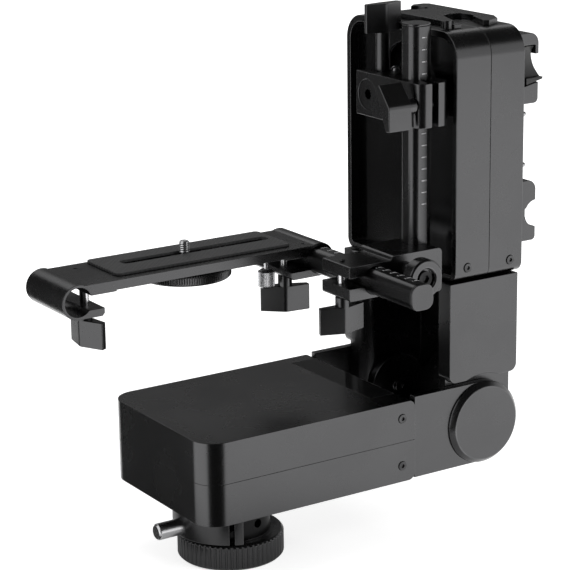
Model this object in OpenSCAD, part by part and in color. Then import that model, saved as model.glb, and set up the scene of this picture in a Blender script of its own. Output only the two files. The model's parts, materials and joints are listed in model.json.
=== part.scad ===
// Remote pan tilt head: motor base, folding tower and tilting camera cradle.
// Lengths are in millimetres. +Z is up and the pan axis is the Z axis.
// The tower stands toward +X and the tick marks of the rails face -Y.

/* [Fits] */
// Radial gap between a shaft and the bore it turns or slides in
run_gap = 0.05; // [0.02:0.01:0.1]
// Gap round a piece that is seated and stays put
seat_gap = 0.02; // [0.01:0.01:0.05]
// Gap between faces that pass each other
air_gap = 0.3; // [0.2:0.1:1]

/* [Adapter] */
// Radius of the fluted wheel
wheel_r = 32; // [28:0.5:38]
// Height of the fluted wheel
wheel_h = 15.4; // [12:0.2:18]
// Number of flutes round the wheel
flute_count = 60; // [36:2:72]
// Depth of the dish in the top of the wheel
dish_depth = 1.6; // [0.8:0.1:3]
// Radius of the threaded hole for the stand
stand_thread_r = 4.4; // [4:0.1:5]
// Depth of the threaded hole
stand_thread_depth = 13; // [9:0.5:14]
// Radius of the hub above the wheel
hub_r = 24; // [21:0.5:26]
// Number of round holes in the side of the hub
hub_hole_count = 8; // [4:1:10]
// Radius of the holes in the side of the hub
hub_hole_r = 2.6; // [1.5:0.1:3.5]

/* [Lock ring] */
// Outer radius of the ring that turns on the hub
ring_r = 27.5; // [26.5:0.5:30]
// Outer radius of the hanging band
band_r = 34.5; // [32:0.5:38]
// Lower edge of the hanging band
band_z = 17.2; // [16:0.2:22]
// Top of the ring
ring_top_z = 40; // [38:0.5:41.5]
// Height of the closed part of the ring
ring_h = 8; // [5:0.5:11]
// Radius of the silver lock pin
pin_r = 5; // [3.5:0.1:6]
// Height of the lock pin's centre line
pin_z = 23.6; // [22.5:0.2:30]
// Reach of the lock pin from the pan axis
pin_reach = 51; // [46:0.5:58]

/* [Base] */
// Underside of the base housing
base_z = 42.5; // [42:0.5:44]
// Height of the base housing
base_h = 50; // [46:1:54]
// End of the housing away from the tower, from the pan axis
base_back = 49; // [44:0.5:54]
// End of the housing toward the tower, from the pan axis
base_front = 96; // [94:0.5:98]
// Width of the base housing
base_w = 112; // [108:0.5:118]
// Radius of the two upright corners
base_corner_r = 14.4; // [10:0.2:18]
// Radius of the shell's ends beside the ears
shell_end_r = 4.5; // [3:0.1:6]
// Wall of the two shells
shell_wall = 3; // [2.4:0.1:3.4]
// Length of the display window across the base
display_len = 85; // [70:1:92]
// Width of the display window
display_w = 17; // [12:0.5:18]
// Thickness of the display window
display_t = 1.4; // [1:0.1:2]
// Radius of the cap screw heads
cap_screw_r = 2.75; // [2.2:0.05:3.2]
// Radius of the cap screw shanks
cap_shank_r = 1.5; // [1.2:0.05:1.8]

/* [Fold hinge] */
// Distance of the fold axis from the pan axis
fold_x = 147; // [143:0.5:150]
// Height of the fold axis
fold_z = 68.5; // [67.5:0.1:69]
// Radius of the round ends of the ears
ear_r = 25.5; // [23:0.1:26]
// Thickness of each ear
ear_t = 5; // [4:0.1:6]
// Distance of an ear's outer face below the housing's side
ear_inset = 0.6; // [0.4:0.1:1.2]
// Radius of the hinge pins
hinge_pin_r = 8; // [6:0.1:10]
// Outer radius of the round hinge caps
cap_r = 25.7; // [23:0.1:26.5]
// Height of the hinge caps
cap_h = 3.9; // [2.5:0.1:5]
// Width of the bevel round a hinge cap
cap_bevel = 2.7; // [1:0.1:4]

/* [Pan drive] */
// Radius of the pan spindle
spindle_r = 9; // [7:0.1:10]
// Teeth of the large gears
gear_teeth = 60; // [60:1:60]
// Teeth of the small gears
pinion_teeth = 12; // [12:1:12]
// Tooth size
gear_module = 1; // [0.9:0.05:1.05]
// Thickness of the gears
gear_t = 7; // [5:0.5:8]
// Radius of the pinion shafts
pinion_shaft_r = 2; // [1.5:0.1:2.5]
// Radius of the motors
motor_r = 14.5; // [12:0.5:15]

/* [Tower] */
// Near edge of the tower leg, from the pan axis
leg_x = 122; // [121:0.2:123]
// Depth of the tower leg along X
leg_depth = 51; // [49:0.2:52]
// Underside of the leg's side plates
leg_z = 96.4; // [96:0.1:97.5]
// Top of the leg, under the covers
leg_top_z = 158.3; // [156:0.1:160]
// Thickness of the leg's near side plate
leg_plate_t = 11.4; // [8:0.1:13]
// Radius of the relief over the hinge cap
leg_relief_r = 30.5; // [28.5:0.1:32]
// Radius of the tongues that turn between the ears
tongue_r = 24.5; // [22:0.1:25]
// Thickness of the near tongue
tongue_t = 6; // [4:0.1:8]
// Thickness of the far side wall
far_wall_t = 18.8; // [15:0.1:20]
// Radius of the far wall's upright edge
far_edge_r = 12; // [6:0.5:14]
// Inner radius of the curved shield
shield_r = 28; // [26:0.5:29]
// Thickness of the shield
shield_t = 4; // [2.5:0.1:4.2]
// Radius of the disc inside the far wall
inner_disc_r = 20.5; // [16:0.5:22]
// Thickness of the disc inside the far wall
inner_disc_t = 5.8; // [3:0.1:7]
// Near face of the tower covers, from the pan axis
cover_x = 125.3; // [125:0.1:126]
// Depth of both covers together along X
cover_depth = 50; // [48:0.5:52]
// Top of the covers
cover_top_z = 307.2; // [302:0.2:312]
// Radius of the covers' top corners
cover_r = 15.3; // [12:0.1:20]
// Radius of the covers' bottom corners
cover_foot_r = 6.5; // [5:0.1:8]
// Width of the covers' edge strip
cover_wall = 4; // [3.2:0.1:5]
// Depth of the panel below the cover's edge
panel_recess = 6.3; // [4:0.1:7]
// Radius of the opening round the tilt hub
panel_hole_r = 29; // [26:0.5:32]
// Distance between the two screws low on each side
cover_screw_span = 32; // [26:1:36]

/* [Battery mount] */
// Reach of the battery brackets beyond the cover
battery_reach = 17; // [14:0.2:20]
// Width of the battery brackets
battery_w = 96; // [80:1:98]
// Underside of the upper bracket, below the covers' top
upper_bracket_drop = 48.4; // [46:0.2:52]
// Height of the upper bracket
upper_bracket_h = 42.4; // [38:0.2:44]
// Underside of the lower bracket, above the covers' foot
lower_bracket_rise = 15.7; // [13:0.1:18]
// Height of the lower bracket
lower_bracket_h = 37.4; // [34:0.2:40]
// Width of the release lever
lever_w = 28; // [20:0.5:32]
// Radius of the battery contact pins
contact_r = 1.5; // [1.2:0.05:1.7]
// Distance between the two contact pins
contact_span = 30.8; // [26:0.2:34]

/* [Tilt drive] */
// Distance of the tilt axis below the covers' top
tilt_drop = 40.4; // [38:0.2:44]
// Radius of the tilt shaft
shaft_r = 9; // [7:0.1:9.4]
// Radius of the hub flange behind the panel opening
hub_flange_r = 24.5; // [20:0.5:26]
// Near face of the hub flange, from the pan axis
hub_flange_x = 141.8; // [140:0.2:143]

/* [Tilt arm] */
// Near face of the arm, from the pan axis
arm_x = 101.3; // [100.5:0.1:102]
// Thickness of the arm
arm_t = 22.8; // [22:0.1:23.2]
// Height of the arm
arm_h = 26; // [23:0.5:28]
// End of the arm behind the tilt axis
arm_back = 12; // [11.5:0.5:16]
// Reach of the clamp jaws in front of the tilt axis
arm_front = 52.2; // [50:0.2:55]
// Width of the slit between the jaws
arm_slit = 4.4; // [3:0.1:6]
// Radius of the jaws' corners
jaw_r = 6; // [3:0.1:6.7]

/* [Rails] */
// Width of the square rails
rail_w = 15; // [14:0.1:15.2]
// Radius of the rails' four edges
rail_corner_r = 5.2; // [5:0.05:5.6]
// Length of the rails
rail_len = 150; // [146:1:160]
// Thickness of the rails' end caps
end_cap_t = 1.5; // [1:0.1:3]
// Radius of the round clamp bores
clamp_bore_r = 8.5; // [8.45:0.01:8.7]
// Distance of the upright rail in front of the tilt axis
rail_front = 33.4; // [32:0.1:34]
// Lower end of the upright rail
rail_z = 162.6; // [161:0.1:164]
// Distance of the level rod from the pan axis
rod_x = 70; // [68:0.2:72]
// Height of the level rod's centre line
rod_z = 169.3; // [168:0.1:170]
// Front end of the level rod
rod_front = 98.2; // [94:0.2:102]

/* [Rail bracket] */
// Front face of the bracket, from the tilt axis
bracket_front = 53; // [51:0.2:55]
// Depth of the bracket's tail along Y
bracket_tail_d = 28.3; // [24:0.1:29]
// Depth of the bracket's block along Y
bracket_block_d = 32; // [30:0.5:34]
// Far face of the bracket's block, from the pan axis
bracket_x = 117.6; // [116:0.1:119]
// Underside of the bracket's block
bracket_z = 155.2; // [153:0.1:157]
// Height of the bracket's block
bracket_h = 26.7; // [25:0.1:28]
// End of the bracket's tail, from the pan axis
tail_x = 51.4; // [50:0.2:53]
// Mouth of the bracket's ring clamp
tail_gap = 6.2; // [4:0.1:7]
// Radius of the lock dial
dial_r = 11.6; // [9:0.1:13]
// Thickness of the lock dial's head
dial_t = 9; // [6:0.1:11]
// Radius of the lock dial's neck
dial_neck_r = 6.2; // [5:0.1:7.5]
// Length of the lock dial's neck
dial_neck_len = 13; // [8:0.5:15]

/* [Camera plate] */
// Distance of the empty clamp from the pan axis
far_clamp_x = 92.5; // [88:0.5:96]
// Front edge of the camera plate
plate_y = 5.5; // [4:0.1:8]
// Depth of the camera plate
plate_d = 46; // [42:0.5:48]
// Thickness of the camera plate's slab
plate_t = 5.8; // [4.5:0.1:6.5]
// Outer radius of the ring clamps
clamp_r = 10.25; // [10:0.05:11.5]
// Mouth of the plate's ring clamps
clamp_gap = 8.2; // [6:0.1:8.6]
// Step of the upper jaws below the slab
jaw_step = 0.8; // [0.4:0.1:1.2]
// Reach of the left lower jaw from its clamp's centre
jaw_reach = 16.5; // [15:0.1:18]
// Reach of the right lower jaw from its clamp's centre
right_jaw_reach = 20.4; // [18:0.1:22]
// Length of the stud slot
slot_len = 100; // [80:1:104]
// Width of the stud slot
slot_w = 10; // [9:0.1:11]
// Slot centre behind the plate's front edge
slot_y = 27.5; // [26:0.5:29]
// Thickness of the rubber pad
pad_t = 1.6; // [1:0.1:2.2]
// Length of the rubber pad
pad_len = 118; // [110:1:122]
// Depth of the rubber pad
pad_d = 38.6; // [34:0.2:39]
// Front edge of the rubber pad behind the plate's front edge
pad_inset = 6.6; // [5:0.1:8]
// Width of the opening in the rubber pad
pad_slot_w = 8; // [7:0.1:10]

/* [Camera screw] */
// Radius of the camera stud's thread
stud_r = 3.1; // [2.9:0.05:3.2]
// Radius of the camera stud's shank below its thread
stud_shank_r = 2.6; // [2.2:0.05:2.7]
// Height of the stud above the rubber pad
stud_rise = 6.8; // [4:0.2:9]
// Radius of the thumbwheel
thumb_r = 27.5; // [22:0.5:28]
// Thickness of the thumbwheel
thumb_t = 6; // [4:0.1:6.2]
// Distance of the stud from the pan axis
stud_x = 7.5; // [4:0.5:16]
// Thickness of the sliding washer
washer_t = 0.6; // [0.5:0.1:1.2]

/* [Knobs and small parts] */
// Length of one wing of a knob
wing_len = 15.5; // [12:0.5:18]
// Height of a wing along the knob's axis
wing_h = 16; // [12:0.5:18]
// Thickness of a wing
wing_t = 4; // [3:0.1:5]
// Angle between the two wings
wing_angle = 143; // [130:1:160]
// Radius of a knob's neck
neck_r = 4.3; // [3.8:0.1:5]
// Radius of the clamp screws
screw_r = 2.7; // [2.4:0.05:3.1]
// Enlargement of the knob on top of the arm
shaft_knob_size = 1.22; // [1:0.01:1.3]
// Length of the top knob's neck
shaft_knob_neck = 20.5; // [14:0.5:24]
// Length of the hanging knobs' necks
hang_neck = 8.6; // [6:0.1:10]
// Radius of the small silver thumbscrew
thumbscrew_r = 5.2; // [4:0.1:5.6]
// Height of the small thumbscrew's head
thumbscrew_h = 11; // [8:0.5:13]
// Distance of the small thumbscrew's head below the slab
thumbscrew_drop = 8.6; // [7:0.1:11]

/* [Hidden] */
side_y = base_w / 2;
base_top = base_z + base_h;
base_mid = base_z + base_h / 2;
base_in_z = base_z + shell_wall;
base_in_top = base_top - shell_wall;
base_in_y = side_y - shell_wall;
ear_out = side_y - ear_inset;
ear_in = ear_out - ear_t;
tongue_y = ear_in - 0.4;
near_in = ear_out - leg_plate_t;
far_in = ear_out - far_wall_t;
shield_x = leg_x + leg_depth - 4.4 - shield_r;
shield_z = 89.4;
disc_y = far_in - inner_disc_t;
hub_top = base_z - air_gap;
bearing_top = base_in_z + 8;
gear_z = bearing_top + 0.4;
spindle_top = gear_z + gear_t + 0.6;
deck_z = spindle_top + 1.2;
deck_t = 3;
gear_reach = gear_module * (gear_teeth + pinion_teeth) / 2 + 0.15;
pan_ratio = gear_teeth / pinion_teeth;
cover_mid = cover_x + cover_depth / 2;
cover_back_x = cover_x + cover_depth;
cover_z = leg_top_z + 0.4;
tilt_z = cover_top_z - tilt_drop;
upper_bracket_z = cover_top_z - upper_bracket_drop;
lower_bracket_z = cover_z + lower_bracket_rise;
cover_h = cover_top_z - cover_z;
cover_in_x = cover_back_x - 3;
panel_x = cover_x + panel_recess;
panel_t = 3;
core_x = hub_flange_x + 3.2;
core_t = 4;
tilt_gear_x = core_x + core_t + 3;
tilt_gear_t = 6;
pinion_z = tilt_z - gear_reach;
tilt_motor_x = tilt_gear_x + tilt_gear_t + 1;
motor_deck_z = pinion_z - 22;
cover_screw_z = cover_z + 8.6;
arm_mid_x = arm_x + arm_t / 2;
arm_z = tilt_z - arm_h / 2;
arm_top = arm_z + arm_h;
rail_top = rail_z + rail_len;
clamp_screw_y = arm_front - 5.4;
bracket_top = bracket_z + bracket_h;
slab_z = rod_z + 3.5;
slab_top = slab_z + plate_t;
upper_jaw_z = slab_z - jaw_step;
jaw_top = upper_jaw_z - clamp_gap;
tail_jaw_top = slab_z - tail_gap;
jaw_z = rod_z - clamp_r + 0.05;
tail_top = rod_z + clamp_r + 0.05;
plate_end = plate_y + plate_d;
slot_mid_y = plate_y + slot_y;
slot_x = -slot_len / 2;
pad_x = -64;
pad_y = plate_y + pad_inset;
pad_top = slab_top + pad_t;
left_screw_x = -far_clamp_x + 12;
right_screw_x = rod_x - 14.4;
plate_screw_y = plate_y + 16.5;
left_jaw_end = -far_clamp_x + jaw_reach;
right_jaw_end = rod_x - right_jaw_reach;
bracket_screw_x = rod_x - 14;
bracket_screw_y = -bracket_front + 14;
dial_x = 90.1;
dial_z = 171.4;
dial_y = -bracket_front - dial_neck_len - dial_t - 0.02;
wheel_top = slab_z - seat_gap - washer_t - air_gap;
thread_z = pad_top + 0.3;
lever_x = cover_back_x + 9.2;
lever_z = upper_bracket_z + upper_bracket_h - 10;
lever_y = -battery_w / 2;
contact_y = -side_y + 5.8;
contact_z = upper_bracket_z - 5.1;
core_half = side_y - cover_wall - 8;
core_top = cover_top_z - cover_wall - 3.2;
tool_x = cover_mid - 7;
tool_y = 4;
tool_z = cover_top_z + 0.02;
spare_x = rod_x - 27.7;
spare_y = plate_screw_y;

$fn = 96;

// Cylinder along +X that starts at the given point
module rod_along_x(x, y, z, r, len) {
    translate([x, y, z]) rotate([0, 90, 0]) cylinder(r = r, h = len);
}

// Cylinder along +Y that starts at the given point
module rod_along_y(x, y, z, r, len) {
    translate([x, y, z]) rotate([-90, 0, 0]) cylinder(r = r, h = len);
}

// Flat outline in X and Z, drawn along +Y from y
module along_y(y, len) {
    translate([0, y + len, 0]) rotate([90, 0, 0]) linear_extrude(len) children();
}

// Flat outline in Y and Z, drawn along +X from x
module along_x(x, len) {
    translate([x, 0, 0]) rotate([90, 0, 90]) linear_extrude(len) children();
}

// Rectangle with a separate radius for its lower and upper corners
module soft_rect(x0, y0, x1, y1, r_low, r_high) {
    difference() {
        translate([x0, y0]) square([x1 - x0, y1 - y0]);
        corner_cut(x0, y0, 1, 1, r_low);
        corner_cut(x1, y0, -1, 1, r_low);
        corner_cut(x0, y1, 1, -1, r_high);
        corner_cut(x1, y1, -1, -1, r_high);
    }
}

// Waste piece that rounds one corner of a rectangle
module corner_cut(x, y, sx, sy, r) {
    if (r > 0)
        difference() {
            translate([x - (sx > 0 ? 1 : r), y - (sy > 0 ? 1 : r)])
                square([r + 1, r + 1]);
            translate([x + sx * r, y + sy * r]) circle(r);
        }
}

// Section of a rail, centred
module rail_section(grow = 0) {
    half = rail_w / 2 + grow;
    soft_rect(-half, -half, half, half, rail_corner_r + grow, rail_corner_r + grow);
}

// Spur gear outline with straight-sided teeth, first tooth toward +X
module gear_outline(teeth) {
    pitch_r = gear_module * teeth / 2;
    step = 360 / teeth;
    root = pitch_r - 1.2 * gear_module;
    tip = pitch_r + 0.75 * gear_module;
    half_root = 0.25 * step;
    half_tip = (teeth > 30 ? 0.13 : 0.10) * step;
    polygon([for (i = [0:teeth - 1]) for (k = [0:3])
        let (a = i * step + (k == 0 ? -half_root : k == 1 ? -half_tip
                : k == 2 ? half_tip : half_root),
            r = (k == 0 || k == 3) ? root : tip)
        [r * cos(a), r * sin(a)]]);
}

// Wing knob, neck foot at the origin and wings toward +Z
module wing_knob(neck, size) {
    difference() {
        union() {
            cylinder(r = neck_r, h = neck + wing_h * size - 1);
            translate([0, 0, neck])
                for (s = [-1, 1])
                    rotate([0, 0, s * wing_angle / 2])
                        rotate([90, 0, 0])
                            translate([0, 0, -wing_t / 2])
                                linear_extrude(wing_t)
                                    soft_rect(0, 0, wing_len * size,
                                        wing_h * size, 2, 2.5);
        }
        translate([0, 0, -1]) cylinder(r = screw_r + seat_gap, h = neck + 6);
    }
}

// Screw seated in a wing knob, reaching down past the neck's foot
module knob_screw(neck, reach) {
    translate([0, 0, -reach]) cylinder(r = screw_r, h = reach + neck + 4);
}

// Cap screw with its head's foot at the origin and its shank toward -Z
module cap_screw(shank) {
    difference() {
        cylinder(r = cap_screw_r, h = 2);
        translate([0, 0, 1]) cylinder(r = cap_screw_r * 0.45, h = 2, $fn = 6);
    }
    translate([0, 0, -shank]) cylinder(r = cap_shank_r, h = shank + 0.2);
}

// The four places of the base's cap screws on the side facing s
module base_screw_places(s) {
    for (z = [base_mid - 14.8, base_mid + 14.8])
        translate([base_front - 9.3, s * (side_y - 1.4), z])
            rotate([s > 0 ? -90 : 90, 0, 0]) children();
}

// The places of the cap screws low on the tower covers
module cover_screw_places(s) {
    for (x = [cover_mid - cover_screw_span / 2, cover_mid + cover_screw_span / 2])
        translate([x, s * (side_y - 1.4), cover_screw_z])
            rotate([s > 0 ? -90 : 90, 0, 0]) children();
}

module adapter_wheel() {
    color([0.1, 0.1, 0.1])
        difference() {
            rotate_extrude()
                polygon([[0, 0], [wheel_r - 1.4, 0], [wheel_r, 1.4],
                    [wheel_r, wheel_h - 1.4], [wheel_r - 1.4, wheel_h],
                    [wheel_r - 3.4, wheel_h], [hub_r + 1, wheel_h - dish_depth],
                    [hub_r, wheel_h - dish_depth], [hub_r, wheel_h], [0, wheel_h]]);
            for (i = [0:flute_count - 1])
                rotate([0, 0, i * 360 / flute_count])
                    translate([wheel_r + 0.35, 0, -1])
                        cylinder(r = 0.95, h = wheel_h + 2, $fn = 16);
            translate([0, 0, -1]) cylinder(r = stand_thread_r, h = stand_thread_depth + 1);
        }
}

module adapter_hub() {
    color([0.12, 0.12, 0.12])
        difference() {
            translate([0, 0, wheel_h]) cylinder(r = hub_r, h = hub_top - wheel_h);
            translate([0, 0, wheel_h + 8])
                cylinder(r = spindle_r + seat_gap, h = hub_top);
            for (i = [0:hub_hole_count - 1])
                rotate([0, 0, i * 360 / hub_hole_count + 12])
                    rod_along_x(hub_r - 6, 0, 24, hub_hole_r, 10);
        }
}

module pan_spindle() {
    color([0.6, 0.6, 0.62])
        difference() {
            translate([0, 0, wheel_h + 8])
                cylinder(r = spindle_r, h = spindle_top - wheel_h - 8);
            translate([0, 0, wheel_h + 7])
                cylinder(r = 4, h = spindle_top);
        }
}

module pan_gear() {
    color([0.7, 0.6, 0.3])
        translate([0, 0, gear_z])
            linear_extrude(gear_t)
                difference() {
                    gear_outline(gear_teeth);
                    circle(spindle_r + seat_gap);
                    for (a = [30:60:330])
                        rotate(a) translate([18, 0]) circle(4.5);
                }
}

// Fan-shaped outline from angle a to angle b
module fan(a, b, r) {
    polygon(concat([[0, 0]],
        [for (i = [0:8]) let (t = a + (b - a) * i / 8) [r * cos(t), r * sin(t)]]));
}

module lock_ring() {
    color([0.11, 0.11, 0.11])
        difference() {
            union() {
                translate([0, 0, ring_top_z - ring_h]) cylinder(r = ring_r, h = ring_h);
                intersection() {
                    translate([0, 0, band_z]) cylinder(r = band_r, h = ring_top_z - band_z);
                    union() {
                        translate([0, 0, band_z]) linear_extrude(ring_top_z - band_z)
                            fan(152, 238, band_r + 8);
                        translate([0, 0, band_z]) linear_extrude(ring_top_z - band_z)
                            fan(243, 252, band_r + 8);
                    }
                }
            }
            translate([0, 0, band_z - 1])
                cylinder(r = hub_r + run_gap, h = ring_top_z - band_z + 2);
            rod_along_x(-band_r - 4, 0, pin_z, pin_r + seat_gap, band_r + 4 - hub_r - 1.5);
        }
}

module lock_pin() {
    color([0.75, 0.75, 0.76])
        translate([-hub_r - 1.6, 0, pin_z])
            rotate([0, -90, 0])
                rotate_extrude()
                    polygon([[0, 0], [pin_r, 0], [pin_r, pin_reach - hub_r - 2.6],
                        [pin_r - 1, pin_reach - hub_r - 1.6],
                        [0, pin_reach - hub_r - 1.6]]);
}

// Top view outline of the base shells, moved in by the given amount
module base_outline(inset) {
    x0 = -base_back + inset;
    x1 = base_front + (inset > 0 ? 2 : 0);
    y1 = side_y - inset;
    r = base_corner_r - inset;
    difference() {
        translate([x0, -y1]) square([x1 - x0, 2 * y1]);
        corner_cut(x0, -y1, 1, 1, r);
        corner_cut(x0, y1, 1, -1, r);
    }
}

// Body of one shell between two heights, before its holes
module base_shell(z0, z1, floor_z) {
    difference() {
        intersection() {
            translate([0, 0, z0]) linear_extrude(z1 - z0) base_outline(0);
            along_y(-side_y - 1, base_w + 2)
                soft_rect(-base_back - 20, base_z, base_front, base_top,
                    shell_end_r, shell_end_r);
        }
        translate([0, 0, floor_z]) linear_extrude(base_h / 2 - shell_wall + 1)
            base_outline(shell_wall);
        for (s = [-1, 1]) base_screw_places(s) {
            translate([0, 0, -6]) cylinder(r = cap_shank_r + seat_gap, h = 8);
            cylinder(r = cap_screw_r + seat_gap, h = 4);
        }
    }
}

module base_lower_shell() {
    color([0.13, 0.13, 0.13])
        difference() {
            base_shell(base_z, base_mid, base_in_z);
            translate([0, 0, base_z - 1])
                cylinder(r = spindle_r + 8 + seat_gap, h = shell_wall + 2);
        }
}

module base_upper_shell() {
    color([0.13, 0.13, 0.13])
        difference() {
            base_shell(base_mid, base_top, base_mid - 1);
            translate([base_front - 3.5 - display_w - seat_gap,
                    3.5 - display_len / 2 - seat_gap, base_top - display_t])
                cube([display_w + 2 * seat_gap, display_len + 2 * seat_gap, 5]);
        }
}

module display_window() {
    x0 = base_front - 3.5 - display_w;
    y0 = 3.5 - display_len / 2;
    color([0.02, 0.02, 0.02])
        translate([0, 0, base_top - display_t])
            linear_extrude(display_t)
                soft_rect(x0, y0, x0 + display_w, y0 + display_len, 2, 2);
}

module base_frame() {
    wall_x = base_front - 6;
    color([0.11, 0.11, 0.11])
        difference() {
            union() {
                translate([wall_x, -base_in_y + seat_gap, base_in_z + seat_gap])
                    cube([8, 2 * (base_in_y - seat_gap),
                        base_h - 2 * shell_wall - 2 * seat_gap]);
                for (s = [-1, 1]) {
                    translate([base_front - 16, s > 0 ? base_in_y - 6 : -base_in_y + seat_gap,
                            base_in_z + seat_gap])
                        cube([12, 6 - seat_gap,
                            base_h - 2 * shell_wall - 2 * seat_gap]);
                    along_y(s > 0 ? ear_in : -ear_out, ear_t) ear_outline();
                }
                translate([-36, -32, deck_z]) cube([wall_x + 37, 64, deck_t]);
            }
            for (s = [-1, 1]) {
                rod_along_y(fold_x, s > 0 ? ear_in - 1 : -ear_out - 1, fold_z,
                    hinge_pin_r + seat_gap, ear_t + 2);
                base_screw_places(s)
                    translate([0, 0, -8]) cylinder(r = cap_shank_r + seat_gap, h = 10);
            }
            translate([gear_reach, 0, deck_z - 1])
                cylinder(r = pinion_shaft_r + 1, h = deck_t + 2);
        }
}

// Side view of one ear with its round end
module ear_outline() {
    x0 = base_front + 0.1;
    translate([x0, fold_z - ear_r]) square([fold_x - x0, 2 * ear_r]);
    translate([fold_x, fold_z]) circle(ear_r);
}

module hinge_caps() {
    color([0.12, 0.12, 0.12])
        for (s = [-1, 1])
            translate([fold_x, s * ear_out, fold_z])
                rotate([s > 0 ? -90 : 90, 0, 0])
                    rotate_extrude()
                        polygon([[0, 0], [cap_r, 0], [cap_r, 0.9],
                            [cap_r - cap_bevel, cap_h], [0, cap_h]]);
}

module hinge_pins() {
    color([0.6, 0.6, 0.62]) {
        rod_along_y(fold_x, -ear_out, fold_z, hinge_pin_r, ear_out - near_in - 0.6);
        rod_along_y(fold_x, far_in + 0.6, fold_z, hinge_pin_r, ear_out - far_in - 0.6);
    }
}

module base_screws() {
    color([0.2, 0.2, 0.2])
        for (s = [-1, 1]) base_screw_places(s) cap_screw(7);
}

module pan_motor() {
    color([0.35, 0.35, 0.37])
        difference() {
            translate([gear_reach, 0, deck_z + deck_t])
                cylinder(r = motor_r, h = base_in_top - deck_z - deck_t - 0.6);
            translate([gear_reach, 0, deck_z + deck_t - 1])
                cylinder(r = pinion_shaft_r + run_gap, h = 11);
        }
}

module pan_bearing() {
    color([0.5, 0.5, 0.52])
        difference() {
            union() {
                translate([0, 0, base_z + 0.01])
                    cylinder(r = spindle_r + 8, h = bearing_top - base_z);
                translate([0, 0, base_in_z + 0.01])
                    cylinder(r = spindle_r + 13, h = 2.5);
            }
            translate([0, 0, base_z - 1])
                cylinder(r = spindle_r + run_gap, h = bearing_top - base_z + 3);
        }
}

module control_board() {
    color([0.05, 0.25, 0.12]) {
        translate([-34, -27, deck_z + deck_t + 5]) cube([42, 54, 1.6]);
        for (x = [-30, 4]) for (y = [-23, 23])
            translate([x, y, deck_z + deck_t]) cylinder(r = 2, h = 5.2);
        translate([-22, -14, deck_z + deck_t + 6.4]) cube([14, 14, 1.4]);
        translate([-6, 4, deck_z + deck_t + 6.4]) cube([9, 16, 3]);
    }
}

module pan_pinion() {
    color([0.7, 0.6, 0.3])
        translate([gear_reach, 0, 0]) {
            translate([0, 0, gear_z])
                linear_extrude(gear_t) rotate(180 / pinion_teeth)
                    gear_outline(pinion_teeth);
            translate([0, 0, gear_z + gear_t - 0.1])
                cylinder(r = pinion_shaft_r, h = deck_z + deck_t + 9 - gear_z - gear_t);
        }
}

// Side view of the tongues, straight above the fold axis and round about it
module tongue_outline() {
    translate([fold_x, fold_z]) circle(tongue_r);
    translate([fold_x - tongue_r, fold_z])
        square([2 * tongue_r, leg_top_z - fold_z]);
}

module tower_leg() {
    x1 = leg_x + leg_depth;
    color([0.12, 0.12, 0.12])
        difference() {
            union() {
                along_y(-ear_out, leg_plate_t)
                    difference() {
                        soft_rect(leg_x, leg_z, x1, leg_top_z, 5, 0);
                        translate([fold_x, fold_z]) circle(leg_relief_r);
                    }
                along_y(-tongue_y, tongue_t) tongue_outline();
                intersection() {
                    translate([0, 0, fold_z - ear_r - 5])
                        linear_extrude(leg_top_z - fold_z + ear_r + 5)
                            difference() {
                                translate([leg_x, far_in])
                                    square([leg_depth, far_wall_t]);
                                corner_cut(leg_x, far_in, 1, 1, far_edge_r);
                            }
                    union() {
                        along_y(far_in - 1, ear_out - far_in + 2)
                            difference() {
                                soft_rect(leg_x, leg_z, x1, leg_top_z, 5, 0);
                                translate([fold_x, fold_z]) circle(leg_relief_r);
                            }
                        along_y(far_in - 1, tongue_y - far_in + 1) tongue_outline();
                    }
                }
                along_y(-near_in - 1, near_in + far_in + 2) shield_outline();
                translate([leg_x, -near_in - 1, leg_top_z - 6])
                    cube([leg_depth, near_in + far_in + 2, 6]);
            }
            for (s = [-1, 1])
                rod_along_y(fold_x, s > 0 ? far_in - 1 : -tongue_y - 1, fold_z,
                    hinge_pin_r + run_gap, (s > 0 ? tongue_y - far_in : tongue_t) + 2);
            rod_along_y(fold_x, disc_y - seat_gap, fold_z,
                inner_disc_r + seat_gap, far_in - disc_y + seat_gap);
        }
}

// Side view of the upright back wall, curved forward at its foot by radius r
module shield_block(r, extra) {
    x1 = shield_x + r;
    z0 = shield_z - r;
    difference() {
        translate([shield_x - extra, z0])
            square([r + extra, leg_top_z - z0 + extra]);
        corner_cut(x1, z0, -1, 1, r);
    }
}

// Side view of the shield: the space between an outer and an inner block
module shield_outline() {
    difference() {
        shield_block(shield_r + shield_t, 0);
        shield_block(shield_r, 1);
    }
}

// Front view outline of the tower covers, moved in by the given amount
module cover_outline(inset) {
    soft_rect(-side_y + inset, cover_z + inset, side_y - inset,
        cover_top_z - inset, max(cover_foot_r - inset, 1), cover_r - inset);
}

// Opening in the foot of both covers for the core
module cover_foot_cut() {
    translate([cover_x + 14, -core_half - air_gap, cover_z - 1])
        cube([33, 2 * (core_half + air_gap), cover_wall + 3]);
}

module cover_screw_holes() {
    for (s = [-1, 1]) cover_screw_places(s) {
        translate([0, 0, -6]) cylinder(r = cap_shank_r + seat_gap, h = 8);
        cylinder(r = cap_screw_r + seat_gap, h = 4);
    }
}

module tower_cover_front() {
    color([0.13, 0.13, 0.13]) {
        difference() {
            along_x(cover_x, cover_depth / 2)
                difference() {
                    cover_outline(0);
                    cover_outline(cover_wall);
                }
            cover_foot_cut();
            cover_screw_holes();
            translate([tool_x, tool_y, cover_top_z - cover_wall - 1])
                cylinder(r = 3 + run_gap, h = cover_wall + 2);
        }
        translate([cover_x + 8, cover_r - side_y + 5.6, cover_top_z - 1])
            cylinder(r = 3.4, h = 6);
        translate([cover_x + 11, cover_r - side_y + 2.2, cover_top_z - 1])
            cube([5.6, 3.6, 3.4]);
    }
}

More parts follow.
